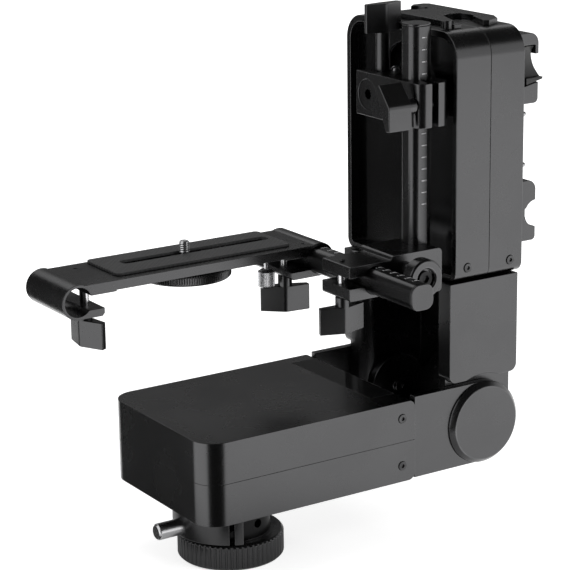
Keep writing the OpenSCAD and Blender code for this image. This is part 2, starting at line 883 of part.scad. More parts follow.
module tower_cover_back() {
    color([0.13, 0.13, 0.13])
        difference() {
            along_x(cover_mid, cover_depth / 2) cover_outline(0);
            along_x(cover_mid - 1, cover_in_x - cover_mid + 1)
                cover_outline(cover_wall);
            cover_foot_cut();
            cover_screw_holes();
            contact_places() cylinder(r = contact_r + run_gap, h = 12, center = true);
        }
}

module tower_panel() {
    color([0.03, 0.03, 0.03])
        along_x(panel_x, panel_t)
            difference() {
                cover_outline(cover_wall + seat_gap);
                translate([0, tilt_z]) circle(panel_hole_r);
            }
}

module inner_hinge_disc() {
    color([0.12, 0.12, 0.12])
        difference() {
            union() {
                rod_along_y(fold_x, disc_y, fold_z, inner_disc_r, inner_disc_t - seat_gap);
                rod_along_y(fold_x, disc_y - 2.4, fold_z, 4.2, 3);
            }
            rod_along_y(fold_x, disc_y - 3, fold_z, 1.9, 2.2, $fn = 6);
        }
}

module tower_screws() {
    color([0.2, 0.2, 0.2])
        for (s = [-1, 1]) cover_screw_places(s) cap_screw(2.5);
}

module tower_core() {
    foot_x = cover_x + 14.3;
    color([0.45, 0.45, 0.47])
        difference() {
            union() {
                translate([foot_x, -core_half, leg_top_z]) cube([32.4, 2 * core_half, 5.4]);
                along_x(core_x, core_t)
                    soft_rect(-core_half, leg_top_z, core_half, core_top, 0, cover_r - 4);
                translate([core_x, -20, motor_deck_z - 4])
                    cube([cover_in_x - core_x - 1, 40, 4]);
            }
            rod_along_x(core_x - 1, 0, tilt_z, shaft_r + 6 + seat_gap, core_t + 2);
        }
}

module tilt_bearing() {
    color([0.5, 0.5, 0.52])
        difference() {
            union() {
                rod_along_x(hub_flange_x, 0, tilt_z, hub_flange_r, core_x - hub_flange_x);
                rod_along_x(hub_flange_x, 0, tilt_z, shaft_r + 6,
                    core_x + core_t + 2 - hub_flange_x);
            }
            rod_along_x(hub_flange_x - 1, 0, tilt_z, shaft_r + run_gap,
                core_x + core_t + 4 - hub_flange_x);
        }
}

module tilt_motor() {
    len = cover_in_x - tilt_motor_x - 1;
    color([0.35, 0.35, 0.37])
        difference() {
            union() {
                rod_along_x(tilt_motor_x, 0, pinion_z, motor_r, len);
                translate([tilt_motor_x, -12, motor_deck_z])
                    cube([len, 24, pinion_z - motor_deck_z]);
            }
            rod_along_x(tilt_motor_x - 1, 0, pinion_z, pinion_shaft_r + run_gap, 10);
        }
}

module tilt_pinion() {
    color([0.7, 0.6, 0.3])
        translate([tilt_gear_x, 0, pinion_z]) rotate([0, 90, 0]) {
            linear_extrude(tilt_gear_t) gear_outline(pinion_teeth);
            cylinder(r = pinion_shaft_r, h = tilt_gear_t + 9);
        }
}

module tilt_gear() {
    color([0.7, 0.6, 0.3])
        translate([tilt_gear_x, 0, tilt_z]) rotate([0, 90, 0])
            linear_extrude(tilt_gear_t)
                difference() {
                    rotate(180 / gear_teeth) gear_outline(gear_teeth);
                    circle(shaft_r + seat_gap);
                    for (a = [30:60:330])
                        rotate(a) translate([19, 0]) circle(5);
                }
}

module tilt_shaft() {
    color([0.6, 0.6, 0.62])
        difference() {
            rod_along_x(arm_x + 0.6, 0, tilt_z, shaft_r,
                tilt_gear_x + tilt_gear_t + 0.4 - arm_x - 0.6);
            rod_along_x(arm_x - 1, 0, tilt_z, 3, 8);
        }
}

// Side view of the upper bracket: a C that opens away from the tower
module upper_bracket_outline() {
    x0 = cover_back_x + 0.01;
    x1 = cover_back_x + battery_reach;
    z0 = upper_bracket_z;
    z1 = upper_bracket_z + upper_bracket_h;
    difference() {
        translate([x0, z0]) square([x1 - x0, upper_bracket_h]);
        corner_cut(x1, z0, -1, 1, 3);
        corner_cut(x1, z1, -1, -1, 6.5);
        polygon([[x0 + 4.7, z0 + 10.2], [x1 + 1, z0 + 12.9], [x1 + 1, z1 - 12.8],
            [x1 - 2.6, z1 - 12.8], [x1 - 2.6, z1 - 7.3], [x0 + 4.7, z1 - 7.3]]);
    }
}

module battery_upper_bracket() {
    rib_y = lever_y + lever_w + air_gap;
    color([0.11, 0.11, 0.11])
        difference() {
            union() {
                along_y(-battery_w / 2, battery_w) upper_bracket_outline();
                translate([cover_back_x + 4, rib_y, upper_bracket_z + 9])
                    cube([battery_reach - 8, 5, upper_bracket_h - 15]);
            }
            rod_along_y(lever_x, rib_y - 1, lever_z, 1.8 + run_gap, 8);
        }
}

// Side view of the release lever, hung near its top
module lever_outline() {
    polygon([for (p = [[-2.2, 2.2], [4.6, 2.1], [4.9, -3.1], [8, -10.9], [11.4, -17],
            [10.9, -18.4], [8, -19], [-1.3, -21]]) [lever_x + p[0], lever_z + p[1]]]);
}

module release_lever() {
    color([0.1, 0.1, 0.1]) {
        difference() {
            along_y(lever_y, lever_w) lever_outline();
            along_x(lever_x - 8, 24)
                difference() {
                    translate([lever_y - 12, lever_z - 9.6]) circle(17);
                    translate([lever_y - 32, lever_z - 37]) square([50, 20]);
                }
        }
        rod_along_y(lever_x, lever_y + lever_w - 0.1, lever_z, 1.8, 5);
    }
}

// Side view of the lower bracket with its hooked notch
module lower_bracket_outline() {
    x0 = cover_back_x + 0.01;
    x1 = cover_back_x + battery_reach - 0.4;
    z0 = lower_bracket_z;
    z1 = lower_bracket_z + lower_bracket_h;
    difference() {
        translate([x0, z0]) square([x1 - x0, lower_bracket_h]);
        corner_cut(x1, z0, -1, 1, 2.6);
        corner_cut(x1, z1, -1, -1, 6);
        translate([x0 + 8.6, z0 + 15]) square([battery_reach, 5.1]);
        translate([x1 + 0.3, z0 + 16.6]) circle(8.2);
    }
}

module battery_lower_bracket() {
    color([0.11, 0.11, 0.11])
        along_y(-battery_w / 2, battery_w) lower_bracket_outline();
}

module battery_plate() {
    z0 = lower_bracket_z + lower_bracket_h + seat_gap;
    color([0.08, 0.08, 0.08])
        translate([cover_back_x + 0.01, -core_half + 4, z0])
            cube([2, 2 * core_half - 8, upper_bracket_z - seat_gap - z0]);
}

// The two places of the contact pins, their axes along X
module contact_places() {
    for (z = [contact_z, contact_z - contact_span])
        translate([cover_back_x, contact_y, z]) rotate([0, 90, 0]) children();
}

module contact_pins() {
    color([0.8, 0.7, 0.35])
        contact_places()
            rotate_extrude()
                polygon([[0, -1.3], [contact_r, -1.3], [contact_r, 4.4],
                    [contact_r * 0.8, 5.3], [contact_r * 0.4, 5.9], [0, 5.9]]);
}

// Top view of the flat spanner that lies on the covers, from its pivot
module tool_outline() {
    difference() {
        translate([-tool_x, -tool_y])
            polygon([for (p = [[-13.3, -27.5], [-13.3, 22], [-11.3, 24.2], [1.9, 24.2],
                    [8.3, 34.7], [13.7, 39.6], [21.6, 39.6], [24.4, 36.8], [24.6, -27],
                    [19, -37.4], [10, -41], [7.4, -38.5], [15.7, -13.5], [0, -9.4],
                    [-7.4, -29.6]])
                [cover_mid + p[0], p[1]]]);
        translate([cover_mid + 6.7 - tool_x, 27.5 - tool_y]) circle(7.5);
        translate([cover_mid + 7.7 - tool_x, -14.4 - tool_y]) circle(8.8);
    }
}

module top_tool() {
    color([0.12, 0.12, 0.12])
        translate([tool_x, tool_y, tool_z]) {
            linear_extrude(3.2) tool_outline();
            translate([0, 0, -cover_wall]) cylinder(r = 3, h = cover_wall + 1);
        }
}

module tilt_arm() {
    color([0.13, 0.13, 0.13])
        difference() {
            translate([0, 0, arm_z])
                linear_extrude(arm_h)
                    difference() {
                        soft_rect(arm_x, -arm_front, arm_x + arm_t, arm_back, jaw_r, 1.5);
                        translate([arm_mid_x, -rail_front]) circle(clamp_bore_r);
                        translate([arm_mid_x - arm_slit / 2, -arm_front - 1])
                            square([arm_slit, arm_front - rail_front - 4]);
                    }
            rod_along_x(arm_x - 1, 0, tilt_z, shaft_r + seat_gap, arm_t + 2);
            translate([arm_mid_x, 0, tilt_z + 4])
                cylinder(r = screw_r + run_gap, h = arm_h);
            rod_along_x(arm_x - 1, -clamp_screw_y, tilt_z, screw_r + run_gap, arm_t + 2);
        }
}

module vertical_rail() {
    color([0.14, 0.14, 0.14])
        translate([arm_mid_x, -rail_front, rail_z])
            linear_extrude(rail_len - end_cap_t) rail_section();
}

module rail_cap() {
    color([0.05, 0.05, 0.05])
        translate([arm_mid_x, -rail_front, rail_top - end_cap_t])
            linear_extrude(end_cap_t) rail_section();
}

// Side view of the bracket's tail, which closes round the level rod
module tail_outline() {
    difference() {
        soft_rect(tail_x, jaw_z, 88, tail_top, 1.5, 1.2);
        translate([rod_x, rod_z]) circle(clamp_bore_r);
        translate([tail_x - 1, tail_jaw_top]) square([rod_x - tail_x + 1, tail_gap]);
    }
}

module rail_bracket() {
    color([0.13, 0.13, 0.13])
        difference() {
            union() {
                along_y(-bracket_front, bracket_tail_d) tail_outline();
                along_y(-bracket_front, bracket_block_d)
                    difference() {
                        soft_rect(80.6, bracket_z, bracket_x, bracket_top, 2.5, 3);
                        translate([rod_x, rod_z]) circle(clamp_bore_r + 2);
                        translate([70, bracket_z - 1]) square([14.6, jaw_z - bracket_z + 1]);
                    }
            }
            translate([arm_mid_x, -rail_front, rail_z])
                linear_extrude(bracket_h) rail_section(seat_gap);
            translate([bracket_screw_x, bracket_screw_y, jaw_z - 1])
                cylinder(r = screw_r + run_gap, h = 18);
            rod_along_y(dial_x, -bracket_front - 1, dial_z, 3 + run_gap, 20);
        }
}

module lock_dial() {
    color([0.1, 0.1, 0.1])
        translate([dial_x, dial_y, dial_z]) rotate([-90, 0, 0])
            difference() {
                rotate_extrude()
                    polygon([[0, 3.4], [dial_neck_r, 3.4], [dial_neck_r, 0.8],
                        [dial_neck_r + 0.8, 0], [dial_r - 1, 0], [dial_r, 1],
                        [dial_r, dial_t - 1], [dial_r - 1, dial_t],
                        [dial_neck_r, dial_t], [dial_neck_r, dial_t + dial_neck_len],
                        [0, dial_t + dial_neck_len]]);
                cylinder(r = 3 + seat_gap, h = 60);
            }
}

module dial_screw() {
    color([0.4, 0.4, 0.42])
        translate([dial_x, dial_y + 1, dial_z]) rotate([-90, 0, 0])
            difference() {
                union() {
                    cylinder(r = 4.6, h = 2.38);
                    cylinder(r = 3, h = dial_t + dial_neck_len + 17);
                }
                translate([0, 0, -1]) cylinder(r = 2.4, h = 2.6, $fn = 6);
            }
}

module horizontal_rod() {
    color([0.14, 0.14, 0.14])
        translate([rod_x, 0, rod_z])
            along_y(-rod_front + end_cap_t, rail_len - 2 * end_cap_t) rail_section();
}

module rod_caps() {
    color([0.05, 0.05, 0.05])
        translate([rod_x, 0, rod_z])
            for (y = [-rod_front, rail_len - rod_front - end_cap_t])
                along_y(y, end_cap_t) rail_section();
}

// Side view of the camera plate with a ring clamp at each end
module plate_outline() {
    left = -far_clamp_x;
    difference() {
        union() {
            translate([left, slab_z]) square([rod_x - left, plate_t]);
            for (x = [left, rod_x])
                translate([x, rod_z]) circle(clamp_r);
            translate([left, upper_jaw_z]) square([left_jaw_end + 8 - left, jaw_step + 1]);
            translate([right_jaw_end - 4, upper_jaw_z])
                square([rod_x - right_jaw_end + 4, jaw_step + 1]);
            polygon([[left, jaw_z], [left_jaw_end - 1.6, jaw_z],
                [left_jaw_end, jaw_z + 1.6], [left_jaw_end, jaw_top], [left, jaw_top]]);
            polygon([[right_jaw_end + 1.6, jaw_z], [rod_x, jaw_z], [rod_x, jaw_top],
                [right_jaw_end, jaw_top], [right_jaw_end, jaw_z + 1.6]]);
        }
        for (x = [left, rod_x])
            translate([x, rod_z]) circle(clamp_bore_r);
        translate([left, jaw_top]) square([jaw_reach + 2, clamp_gap]);
        translate([right_jaw_end - 2, jaw_top]) square([right_jaw_reach + 2, clamp_gap]);
    }
}

module camera_plate() {
    color([0.13, 0.13, 0.13])
        difference() {
            along_y(plate_y, plate_d) plate_outline();
            translate([0, 0, slab_z - 1])
                linear_extrude(plate_t + 2)
                    soft_rect(slot_x, slot_mid_y - slot_w / 2, -slot_x,
                        slot_mid_y + slot_w / 2, 4, 4);
            for (x = [left_screw_x, right_screw_x])
                translate([x, plate_screw_y, jaw_z - 1])
                    cylinder(r = screw_r + run_gap, h = slab_z + 4 - jaw_z);
            translate([spare_x, spare_y, jaw_z - 1])
                cylinder(r = 1.5 + run_gap, h = slab_z + 4 - jaw_z);
            for (p = [[-75, plate_end - 9], [63, plate_y + 7]])
                translate([p[0], p[1], slab_top - 3]) cylinder(r = 1.4, h = 5);
        }
}

module rubber_pad() {
    color([0.06, 0.06, 0.06])
        translate([0, 0, slab_top + 0.01])
            linear_extrude(pad_t)
                difference() {
                    soft_rect(pad_x, pad_y, pad_x + pad_len, pad_y + pad_d, 3, 3);
                    soft_rect(slot_x, slot_mid_y - pad_slot_w / 2, -slot_x,
                        slot_mid_y + pad_slot_w / 2, 3, 3);
                }
}

module slot_washer() {
    key_w = slot_w - 2 * run_gap;
    color([0.15, 0.15, 0.15])
        difference() {
            union() {
                translate([-stud_x - 11, slot_mid_y - 9, slab_z - washer_t - seat_gap])
                    cube([22, 18, washer_t]);
                translate([-stud_x - 7, slot_mid_y - key_w / 2, slab_z - 0.5])
                    cube([14, key_w, plate_t - 0.3]);
            }
            translate([-stud_x, slot_mid_y, slab_z - 4])
                cylinder(r = stud_shank_r + run_gap, h = 14);
        }
}

module camera_stud() {
    color([0.75, 0.75, 0.76])
        translate([-stud_x, slot_mid_y, 0])
            rotate_extrude()
                polygon([[0, wheel_top - thumb_t - 1], [stud_shank_r, wheel_top - thumb_t - 1],
                    [stud_shank_r, thread_z], [stud_r, thread_z],
                    [stud_r, pad_top + stud_rise - 0.8],
                    [stud_r - 0.8, pad_top + stud_rise], [0, pad_top + stud_rise]]);
}

module thumbwheel() {
    color([0.12, 0.12, 0.12])
        translate([-stud_x, slot_mid_y, wheel_top - thumb_t])
            rotate_extrude()
                polygon([[stud_shank_r + seat_gap, -0.6], [9, -0.6], [9, 1.2], [thumb_r - 4, 1.2],
                    [thumb_r - 3, 0], [thumb_r - 0.8, 0], [thumb_r, 0.8],
                    [thumb_r, thumb_t - 0.8], [thumb_r - 0.8, thumb_t],
                    [stud_shank_r + seat_gap, thumb_t]]);
}

module spare_thumbscrew() {
    z1 = slab_z - thumbscrew_drop;
    color([0.75, 0.75, 0.76])
        translate([spare_x, spare_y, 0])
            rotate_extrude()
                polygon([[0, z1 - thumbscrew_h], [thumbscrew_r - 0.6, z1 - thumbscrew_h],
                    [thumbscrew_r, z1 - thumbscrew_h + 0.6], [thumbscrew_r, z1 - 1.4],
                    [thumbscrew_r - 2.2, z1], [1.5, z1], [1.5, slab_z + 2],
                    [0, slab_z + 2]]);
}

module shaft_knob() {
    color([0.08, 0.08, 0.08])
        translate([arm_mid_x, 0, arm_top + air_gap]) rotate([0, 0, 180])
            wing_knob(shaft_knob_neck, shaft_knob_size);
}

module shaft_knob_screw() {
    color([0.75, 0.75, 0.76])
        translate([arm_mid_x, 0, arm_top + air_gap])
            knob_screw(shaft_knob_neck, arm_h / 2 - shaft_r - 0.4 + air_gap);
}

module arm_knob() {
    color([0.08, 0.08, 0.08])
        translate([arm_x - air_gap, -clamp_screw_y, tilt_z])
            rotate([0, -90, 0]) rotate([0, 0, -20]) wing_knob(1.3, 1);
}

module arm_knob_screw() {
    color([0.75, 0.75, 0.76])
        translate([arm_x - air_gap, -clamp_screw_y, tilt_z])
            rotate([0, -90, 0]) knob_screw(1.3, arm_t);
}

// Wing knob hanging below a clamp screw at the given place
module hanging_knob(x, y, turn) {
    translate([x, y, jaw_z - air_gap]) rotate([180, 0, 0]) rotate([0, 0, turn])
        wing_knob(hang_neck, 1);
}

// Screw of a hanging knob, up through the lower jaw and the gap
module hanging_screw(x, y) {
    translate([x, y, jaw_z - air_gap]) rotate([180, 0, 0])
        knob_screw(hang_neck, slab_z + 2.5 - jaw_z + air_gap);
}

module bracket_knob() {
    color([0.08, 0.08, 0.08]) hanging_knob(bracket_screw_x, bracket_screw_y, 60);
}

module bracket_knob_screw() {
    color([0.75, 0.75, 0.76]) hanging_screw(bracket_screw_x, bracket_screw_y);
}

module left_knob() {
    color([0.08, 0.08, 0.08]) hanging_knob(left_screw_x, plate_screw_y, 90);
}

module left_knob_screw() {
    color([0.75, 0.75, 0.76]) hanging_screw(left_screw_x, plate_screw_y);
}

module right_knob() {
    color([0.08, 0.08, 0.08]) hanging_knob(right_screw_x, plate_screw_y, 120);
}

module right_knob_screw() {
    color([0.75, 0.75, 0.76]) hanging_screw(right_screw_x, plate_screw_y);
}

adapter_wheel();
adapter_hub();
pan_spindle();
pan_gear();
lock_ring();
lock_pin();
base_lower_shell();
base_upper_shell();
base_frame();
display_window();
hinge_caps();
hinge_pins();
base_screws();
pan_motor();
pan_bearing();
control_board();
pan_pinion();
tower_leg();
tower_cover_front();
tower_cover_back();
tower_panel();
inner_hinge_disc();
tower_screws();
tower_core();
tilt_motor();
tilt_bearing();
battery_upper_bracket();
battery_lower_bracket();
battery_plate();
release_lever();
contact_pins();
top_tool();
tilt_pinion();
tilt_shaft();
tilt_gear();
tilt_arm();
vertical_rail();
rail_cap();
rail_bracket();
lock_dial();
dial_screw();
horizontal_rod();
rod_caps();
camera_plate();
rubber_pad();
slot_washer();
camera_stud();
thumbwheel();
spare_thumbscrew();
shaft_knob();
shaft_knob_screw();
arm_knob();
arm_knob_screw();
bracket_knob();
bracket_knob_screw();
left_knob();
left_knob_screw();
right_knob();
right_knob_screw();
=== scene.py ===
import json
import math

import bmesh
import bpy
import numpy as np
from mathutils import Matrix, Vector


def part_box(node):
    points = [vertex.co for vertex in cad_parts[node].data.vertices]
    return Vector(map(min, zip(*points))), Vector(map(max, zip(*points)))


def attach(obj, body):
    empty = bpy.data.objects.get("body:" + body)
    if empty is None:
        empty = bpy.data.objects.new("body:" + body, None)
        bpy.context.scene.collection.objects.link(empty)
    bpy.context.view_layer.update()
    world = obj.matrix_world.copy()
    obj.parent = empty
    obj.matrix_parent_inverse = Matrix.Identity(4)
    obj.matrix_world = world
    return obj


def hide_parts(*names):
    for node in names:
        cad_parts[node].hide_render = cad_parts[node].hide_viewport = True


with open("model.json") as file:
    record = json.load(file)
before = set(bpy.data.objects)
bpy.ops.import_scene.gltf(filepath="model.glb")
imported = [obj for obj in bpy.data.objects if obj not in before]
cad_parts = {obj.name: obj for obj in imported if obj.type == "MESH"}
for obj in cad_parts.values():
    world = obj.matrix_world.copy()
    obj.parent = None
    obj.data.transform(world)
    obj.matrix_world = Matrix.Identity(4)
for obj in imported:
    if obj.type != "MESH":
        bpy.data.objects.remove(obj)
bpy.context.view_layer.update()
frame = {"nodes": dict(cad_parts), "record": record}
print("frame loaded:", len(frame["nodes"]), "nodes")

mm = 0.001
bodyOf = {n: b for b, nodes in frame["record"]["behaviour"]["bodies"].items() for n in nodes}


def newObject(name, mesh):
    obj = bpy.data.objects.new(name, mesh)
    bpy.context.scene.collection.objects.link(obj)
    return obj


def newMesh(name, verts, faces):
    # verts is an (n, 3) array in metres, faces an array of corner numbers, shaded smooth
    mesh = bpy.data.meshes.new(name)
    mesh.from_pydata(np.asarray(verts, float).tolist(), [], np.asarray(faces, int).tolist())
    mesh.update()
    mesh.polygons.foreach_set("use_smooth", np.full(len(mesh.polygons), True))
    return newObject(name, mesh)


def gridFaces(rows, cols, wrapCols=False, wrapRows=False):
    # quads of a rows by cols grid of points, wrapped where asked
    r = np.arange(rows if wrapRows else rows - 1)
    c = np.arange(cols if wrapCols else cols - 1)
    i, j = np.meshgrid(r, c, indexing="ij")
    i2, j2 = (i + 1) % rows, (j + 1) % cols
    return np.stack([i * cols + j, i * cols + j2, i2 * cols + j2, i2 * cols + j], -1).reshape(-1, 4)


def closeUp(obj, sharp=None):
    # merges doubled points at poles and seams and turns the faces outward
    work = bmesh.new()
    work.from_mesh(obj.data)
    bmesh.ops.remove_doubles(work, verts=work.verts, dist=2e-6)
    bmesh.ops.recalc_face_normals(work, faces=work.faces)
    work.to_mesh(obj.data)
    work.free()
    if sharp:
        obj.data.set_sharp_from_angle(angle=math.radians(sharp))
    return obj


def placeOn(obj, body, material, replaced=()):
    obj.data.materials.clear()
    obj.data.materials.append(material)
    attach(obj, body)
    if replaced:
        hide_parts(*replaced)
    return obj


def turned(name, profile, centre, axis="z", cols=96, relief=None, ring=False, sharp=35):
    # a profile of (radius, height) points in mm carried round an axis:
    # x = r cos t, y = r sin t, z = h, with relief(t, h, r) added to the radius
    r, h = np.asarray(profile, float).T
    t = np.linspace(0, 2 * math.pi, cols, endpoint=False)
    radius = np.repeat(r[:, None], cols, 1)
    height = np.repeat(h[:, None], cols, 1)
    angle = np.repeat(t[None, :], len(r), 0)
    if relief:
        radius = radius + relief(angle, height, radius)
    p = np.stack([radius * np.cos(angle), radius * np.sin(angle), height], -1).reshape(-1, 3)
    if axis == "x":
        p = p[:, [2, 0, 1]]
    if axis == "y":
        p = p[:, [1, 2, 0]]
    p = (p + np.asarray(centre, float)) * mm
    return closeUp(newMesh(name, p, gridFaces(len(r), cols, True, ring)), sharp)


def filled(points, step):
    # the same profile with extra points, at most step mm apart
    out = []
    for a, b in zip(points[:-1], points[1:]):
        n = max(1, int(math.ceil(math.dist(a, b) / step)))
        f = np.arange(n)[:, None] / n
        out.append(np.asarray(a) + (np.asarray(b) - np.asarray(a)) * f)
    return np.concatenate(out + [np.asarray([points[-1]], float)])


camera = {
    "place": (-0.6120, -1.0176, 0.4955),
    "azimuth": 32.707,     # degrees from +Y toward +X
    "elevation": 15.542,   # degrees down
    "roll": -0.828,
    "lens": 133.88,
    "sensor": 36.0,
}


def makeCamera():
    az, el, roll = (math.radians(camera[k]) for k in ("azimuth", "elevation", "roll"))
    forward = Vector((math.sin(az) * math.cos(el), math.cos(az) * math.cos(el), -math.sin(el)))
    right = Vector((math.cos(az), -math.sin(az), 0))
    down = forward.cross(right)
    rightRolled = right * math.cos(roll) - down * math.sin(roll)
    downRolled = right * math.sin(roll) + down * math.cos(roll)
    turn = Matrix((rightRolled, -downRolled, -forward)).transposed()
    data = bpy.data.cameras.new("camera")
    data.lens = camera["lens"]
    data.sensor_width = camera["sensor"]
    data.clip_start, data.clip_end = 0.01, 50
    obj = newObject("camera", data)
    obj.matrix_world = Matrix.Translation(camera["place"]) @ turn.to_4x4()
    bpy.context.scene.camera = obj


lights = {
    # name: (place, aimed at, width, height, watts)
    "keyFront": ((0.9, -1.6, 1.0), (0.05, 0, 0.2), 1.2, 1.2, 16),
    "fillTop": ((0.1, 0.2, 1.9), (0.05, 0, 0.2), 1.4, 1.4, 8),
    "fillBack": ((-0.9, 1.5, 0.9), (0.05, 0, 0.2), 1.0, 1.0, 8),
}
studio = {
    # the world's strength where it is seen and as a light
    "world": 1.0, "fill": 0.4,
    "floorSize": 9.0, "floorBelow": 0.0004, "floorTint": 0.8,
    # the floor's glow close to the head, and the radii in metres between which it grows to 1:
    # for the camera, then for reflections, where the low glow near the head is a painted shadow of the
    # object
    "glowSeen": 0.7, "seenFrom": 0.3, "seenTo": 1.1,
    "reflectedShadowGlow": 0.12, "reflectedShadowFrom": 0.12, "reflectedShadowTo": 0.2,
}
cards = {
    # dark cards that only reflections see: centre, azimuth from and to in degrees
    # (0 is +Y, 90 is +X), inner radius, outer radius, height in metres, brightness
    "cardBehindLeft": ((-0.049, -0.045), 317, 352, 0.02, 2.2, 2.6, 0.055),
    "cardFront": ((-0.045, -0.055), 163, 243, 0.02, 2.2, 2.6, 0.04),
    "cardBehindRight": ((0.05, 0), 352, 428, 0.45, 2.2, 1.25, 0.10),
}
ceilingCard = {"place": (0.7, -0.6, 1.75), "radius": 1.9, "tone": 0.05}
cardShape = {"steps": 25, "lift": 0.0002, "foot": 0.05, "rim": 48}


def makeLights():
    for name, (place, aim, width, height, watts) in lights.items():
        data = bpy.data.lights.new(name, "AREA")
        data.shape = "RECTANGLE"
        data.size, data.size_y = width, height
        data.energy = watts
        obj = newObject(name, data)
        obj.location = place
        obj.rotation_mode = "QUATERNION"
        obj.rotation_quaternion = (Vector(aim) - Vector(place)).to_track_quat("-Z", "Y")
        obj.visible_glossy = False


def seenMask(nodes, links):
    # 1 where a camera, glossy or transmission ray looks, else 0
    path = nodes.new("ShaderNodeLightPath")
    first, both = nodes.new("ShaderNodeMath"), nodes.new("ShaderNodeMath")
    first.operation = both.operation = "MAXIMUM"
    links.new(path.outputs["Is Camera Ray"], first.inputs[0])
    links.new(path.outputs["Is Glossy Ray"], first.inputs[1])
    links.new(first.outputs[0], both.inputs[0])
    links.new(path.outputs["Is Transmission Ray"], both.inputs[1])
    return both.outputs[0]


def makeWorld():
    # white to the camera and in reflections, softer as a light
    world = bpy.data.worlds.new("studio")
    bpy.context.scene.world = world
    world.use_nodes = True
    nodes, links = world.node_tree.nodes, world.node_tree.links
    nodes.clear()
    out = nodes.new("ShaderNodeOutputWorld")
    strength = nodes.new("ShaderNodeMapRange")
    strength.inputs["To Min"].default_value = studio["fill"]
    strength.inputs["To Max"].default_value = studio["world"]
    back = nodes.new("ShaderNodeBackground")
    back.inputs["Color"].default_value = (1, 1, 1, 1)
    links.new(seenMask(nodes, links), strength.inputs["Value"])
    links.new(strength.outputs["Result"], back.inputs["Strength"])
    links.new(back.outputs[0], out.inputs["Surface"])


def makeFloor():
    # a pale floor that glows a little where it is seen, so that only the soft shadow shows; in reflections
    # its glow is dimmed near the head, a painted shadow
    half = studio["floorSize"] / 2
    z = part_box("adapter_wheel")[0][2] - studio["floorBelow"]
    corners = [(-half, -half, z), (half, -half, z), (half, half, z), (-half, half, z)]
    floor = newMesh("floor", corners, [(0, 1, 2, 3)])
    mat = bpy.data.materials.new("paleFloor")
    mat.use_nodes = True
    nodes, links = mat.node_tree.nodes, mat.node_tree.links
    nodes.clear()
    out = nodes.new("ShaderNodeOutputMaterial")
    glow = nodes.new("ShaderNodeEmission")
    coords = nodes.new("ShaderNodeTexCoord")
    away = nodes.new("ShaderNodeVectorMath")
    away.operation = "LENGTH"
    links.new(coords.outputs["Object"], away.inputs[0])
    path = nodes.new("ShaderNodeLightPath")
    strengths = []
    # for reflections the glow is low near the head: a painted shadow of the object on the floor
    for ray, low, near, far in (("Is Camera Ray", studio["glowSeen"], studio["seenFrom"], studio["seenTo"]),
                                ("Is Glossy Ray", studio["reflectedShadowGlow"], studio["reflectedShadowFrom"], studio["reflectedShadowTo"])):
        grow = nodes.new("ShaderNodeMapRange")
        grow.interpolation_type = "SMOOTHSTEP"
        grow.inputs["From Min"].default_value = near
        grow.inputs["From Max"].default_value = far
        grow.inputs["To Min"].default_value = low
        grow.inputs["To Max"].default_value = 1.0
        times = nodes.new("ShaderNodeMath")
        times.operation = "MULTIPLY"
        links.new(away.outputs["Value"], grow.inputs["Value"])
        links.new(grow.outputs["Result"], times.inputs[0])
        links.new(path.outputs[ray], times.inputs[1])
        strengths.append(times)
    strength = nodes.new("ShaderNodeMath")
    strength.operation = "ADD"
    links.new(strengths[0].outputs[0], strength.inputs[0])
    links.new(strengths[1].outputs[0], strength.inputs[1])
    matt = nodes.new("ShaderNodeBsdfDiffuse")
    matt.inputs["Color"].default_value = (*[studio["floorTint"]] * 3, 1)
    both = nodes.new("ShaderNodeAddShader")
    links.new(strength.outputs[0], glow.inputs["Strength"])
    links.new(glow.outputs[0], both.inputs[0])
    links.new(matt.outputs[0], both.inputs[1])
    links.new(both.outputs[0], out.inputs["Surface"])
    floor.data.materials.append(mat)


def glowing(name, tone):
    # a plain even glow
    mat = bpy.data.materials.new(name)
    mat.use_nodes = True
    nodes, links = mat.node_tree.nodes, mat.node_tree.links
    nodes.clear()
    out = nodes.new("ShaderNodeOutputMaterial")
    glow = nodes.new("ShaderNodeEmission")
    glow.inputs["Strength"].default_value = tone
    links.new(glow.outputs[0], out.inputs["Surface"])
    return mat


def hangCard(card, tone):
    # only reflections see a card
    card.data.materials.append(glowing(card.name, tone))
    card.visible_camera = card.visible_diffuse = card.visible_shadow = False
    card.visible_transmission = card.visible_volume_scatter = False


def makeCards():
    # each card lies on the floor from its inner to its outer radius and stands up there:
    # point = (r sin a, r cos a, z), r and z from a path of four points
    steps, lift, foot, rimPoints = cardShape.values()
    for name, (centre, start, end, inner, outer, tall, tone) in cards.items():
        a = np.radians(np.linspace(start, end, steps))[None, :]
        r = np.array([inner, outer, outer, outer])[:, None] + 0 * a
        z = np.array([lift, lift, foot, tall])[:, None] + 0 * a
        p = np.stack([r * np.sin(a) + centre[0], r * np.cos(a) + centre[1], z], -1).reshape(-1, 3)
        hangCard(newMesh(name, p, gridFaces(4, steps)), tone)
    # the ceiling card is a disc: point = place + (r cos a, r sin a, 0)
    c = ceilingCard
    a = np.linspace(0, 2 * math.pi, rimPoints, endpoint=False)
    rim = np.stack([c["radius"] * np.cos(a), c["radius"] * np.sin(a), 0 * a], -1) + c["place"]
    hangCard(newMesh("cardAbove", rim, [list(range(rimPoints))]), c["tone"])


makeCamera()
makeLights()
makeWorld()
makeFloor()
makeCards()
bpy.context.scene.view_settings.view_transform = "Standard"
print("camera, lights, floor and cards ready")


def groupSockets(group, inputs, outputs):
    # inputs are (name, kind, value), outputs (name, kind)
    for name, kind, value in inputs:
        group.interface.new_socket(name=name, in_out="INPUT", socket_type=kind).default_value = value
    for name, kind in outputs:
        group.interface.new_socket(name=name, in_out="OUTPUT", socket_type=kind)


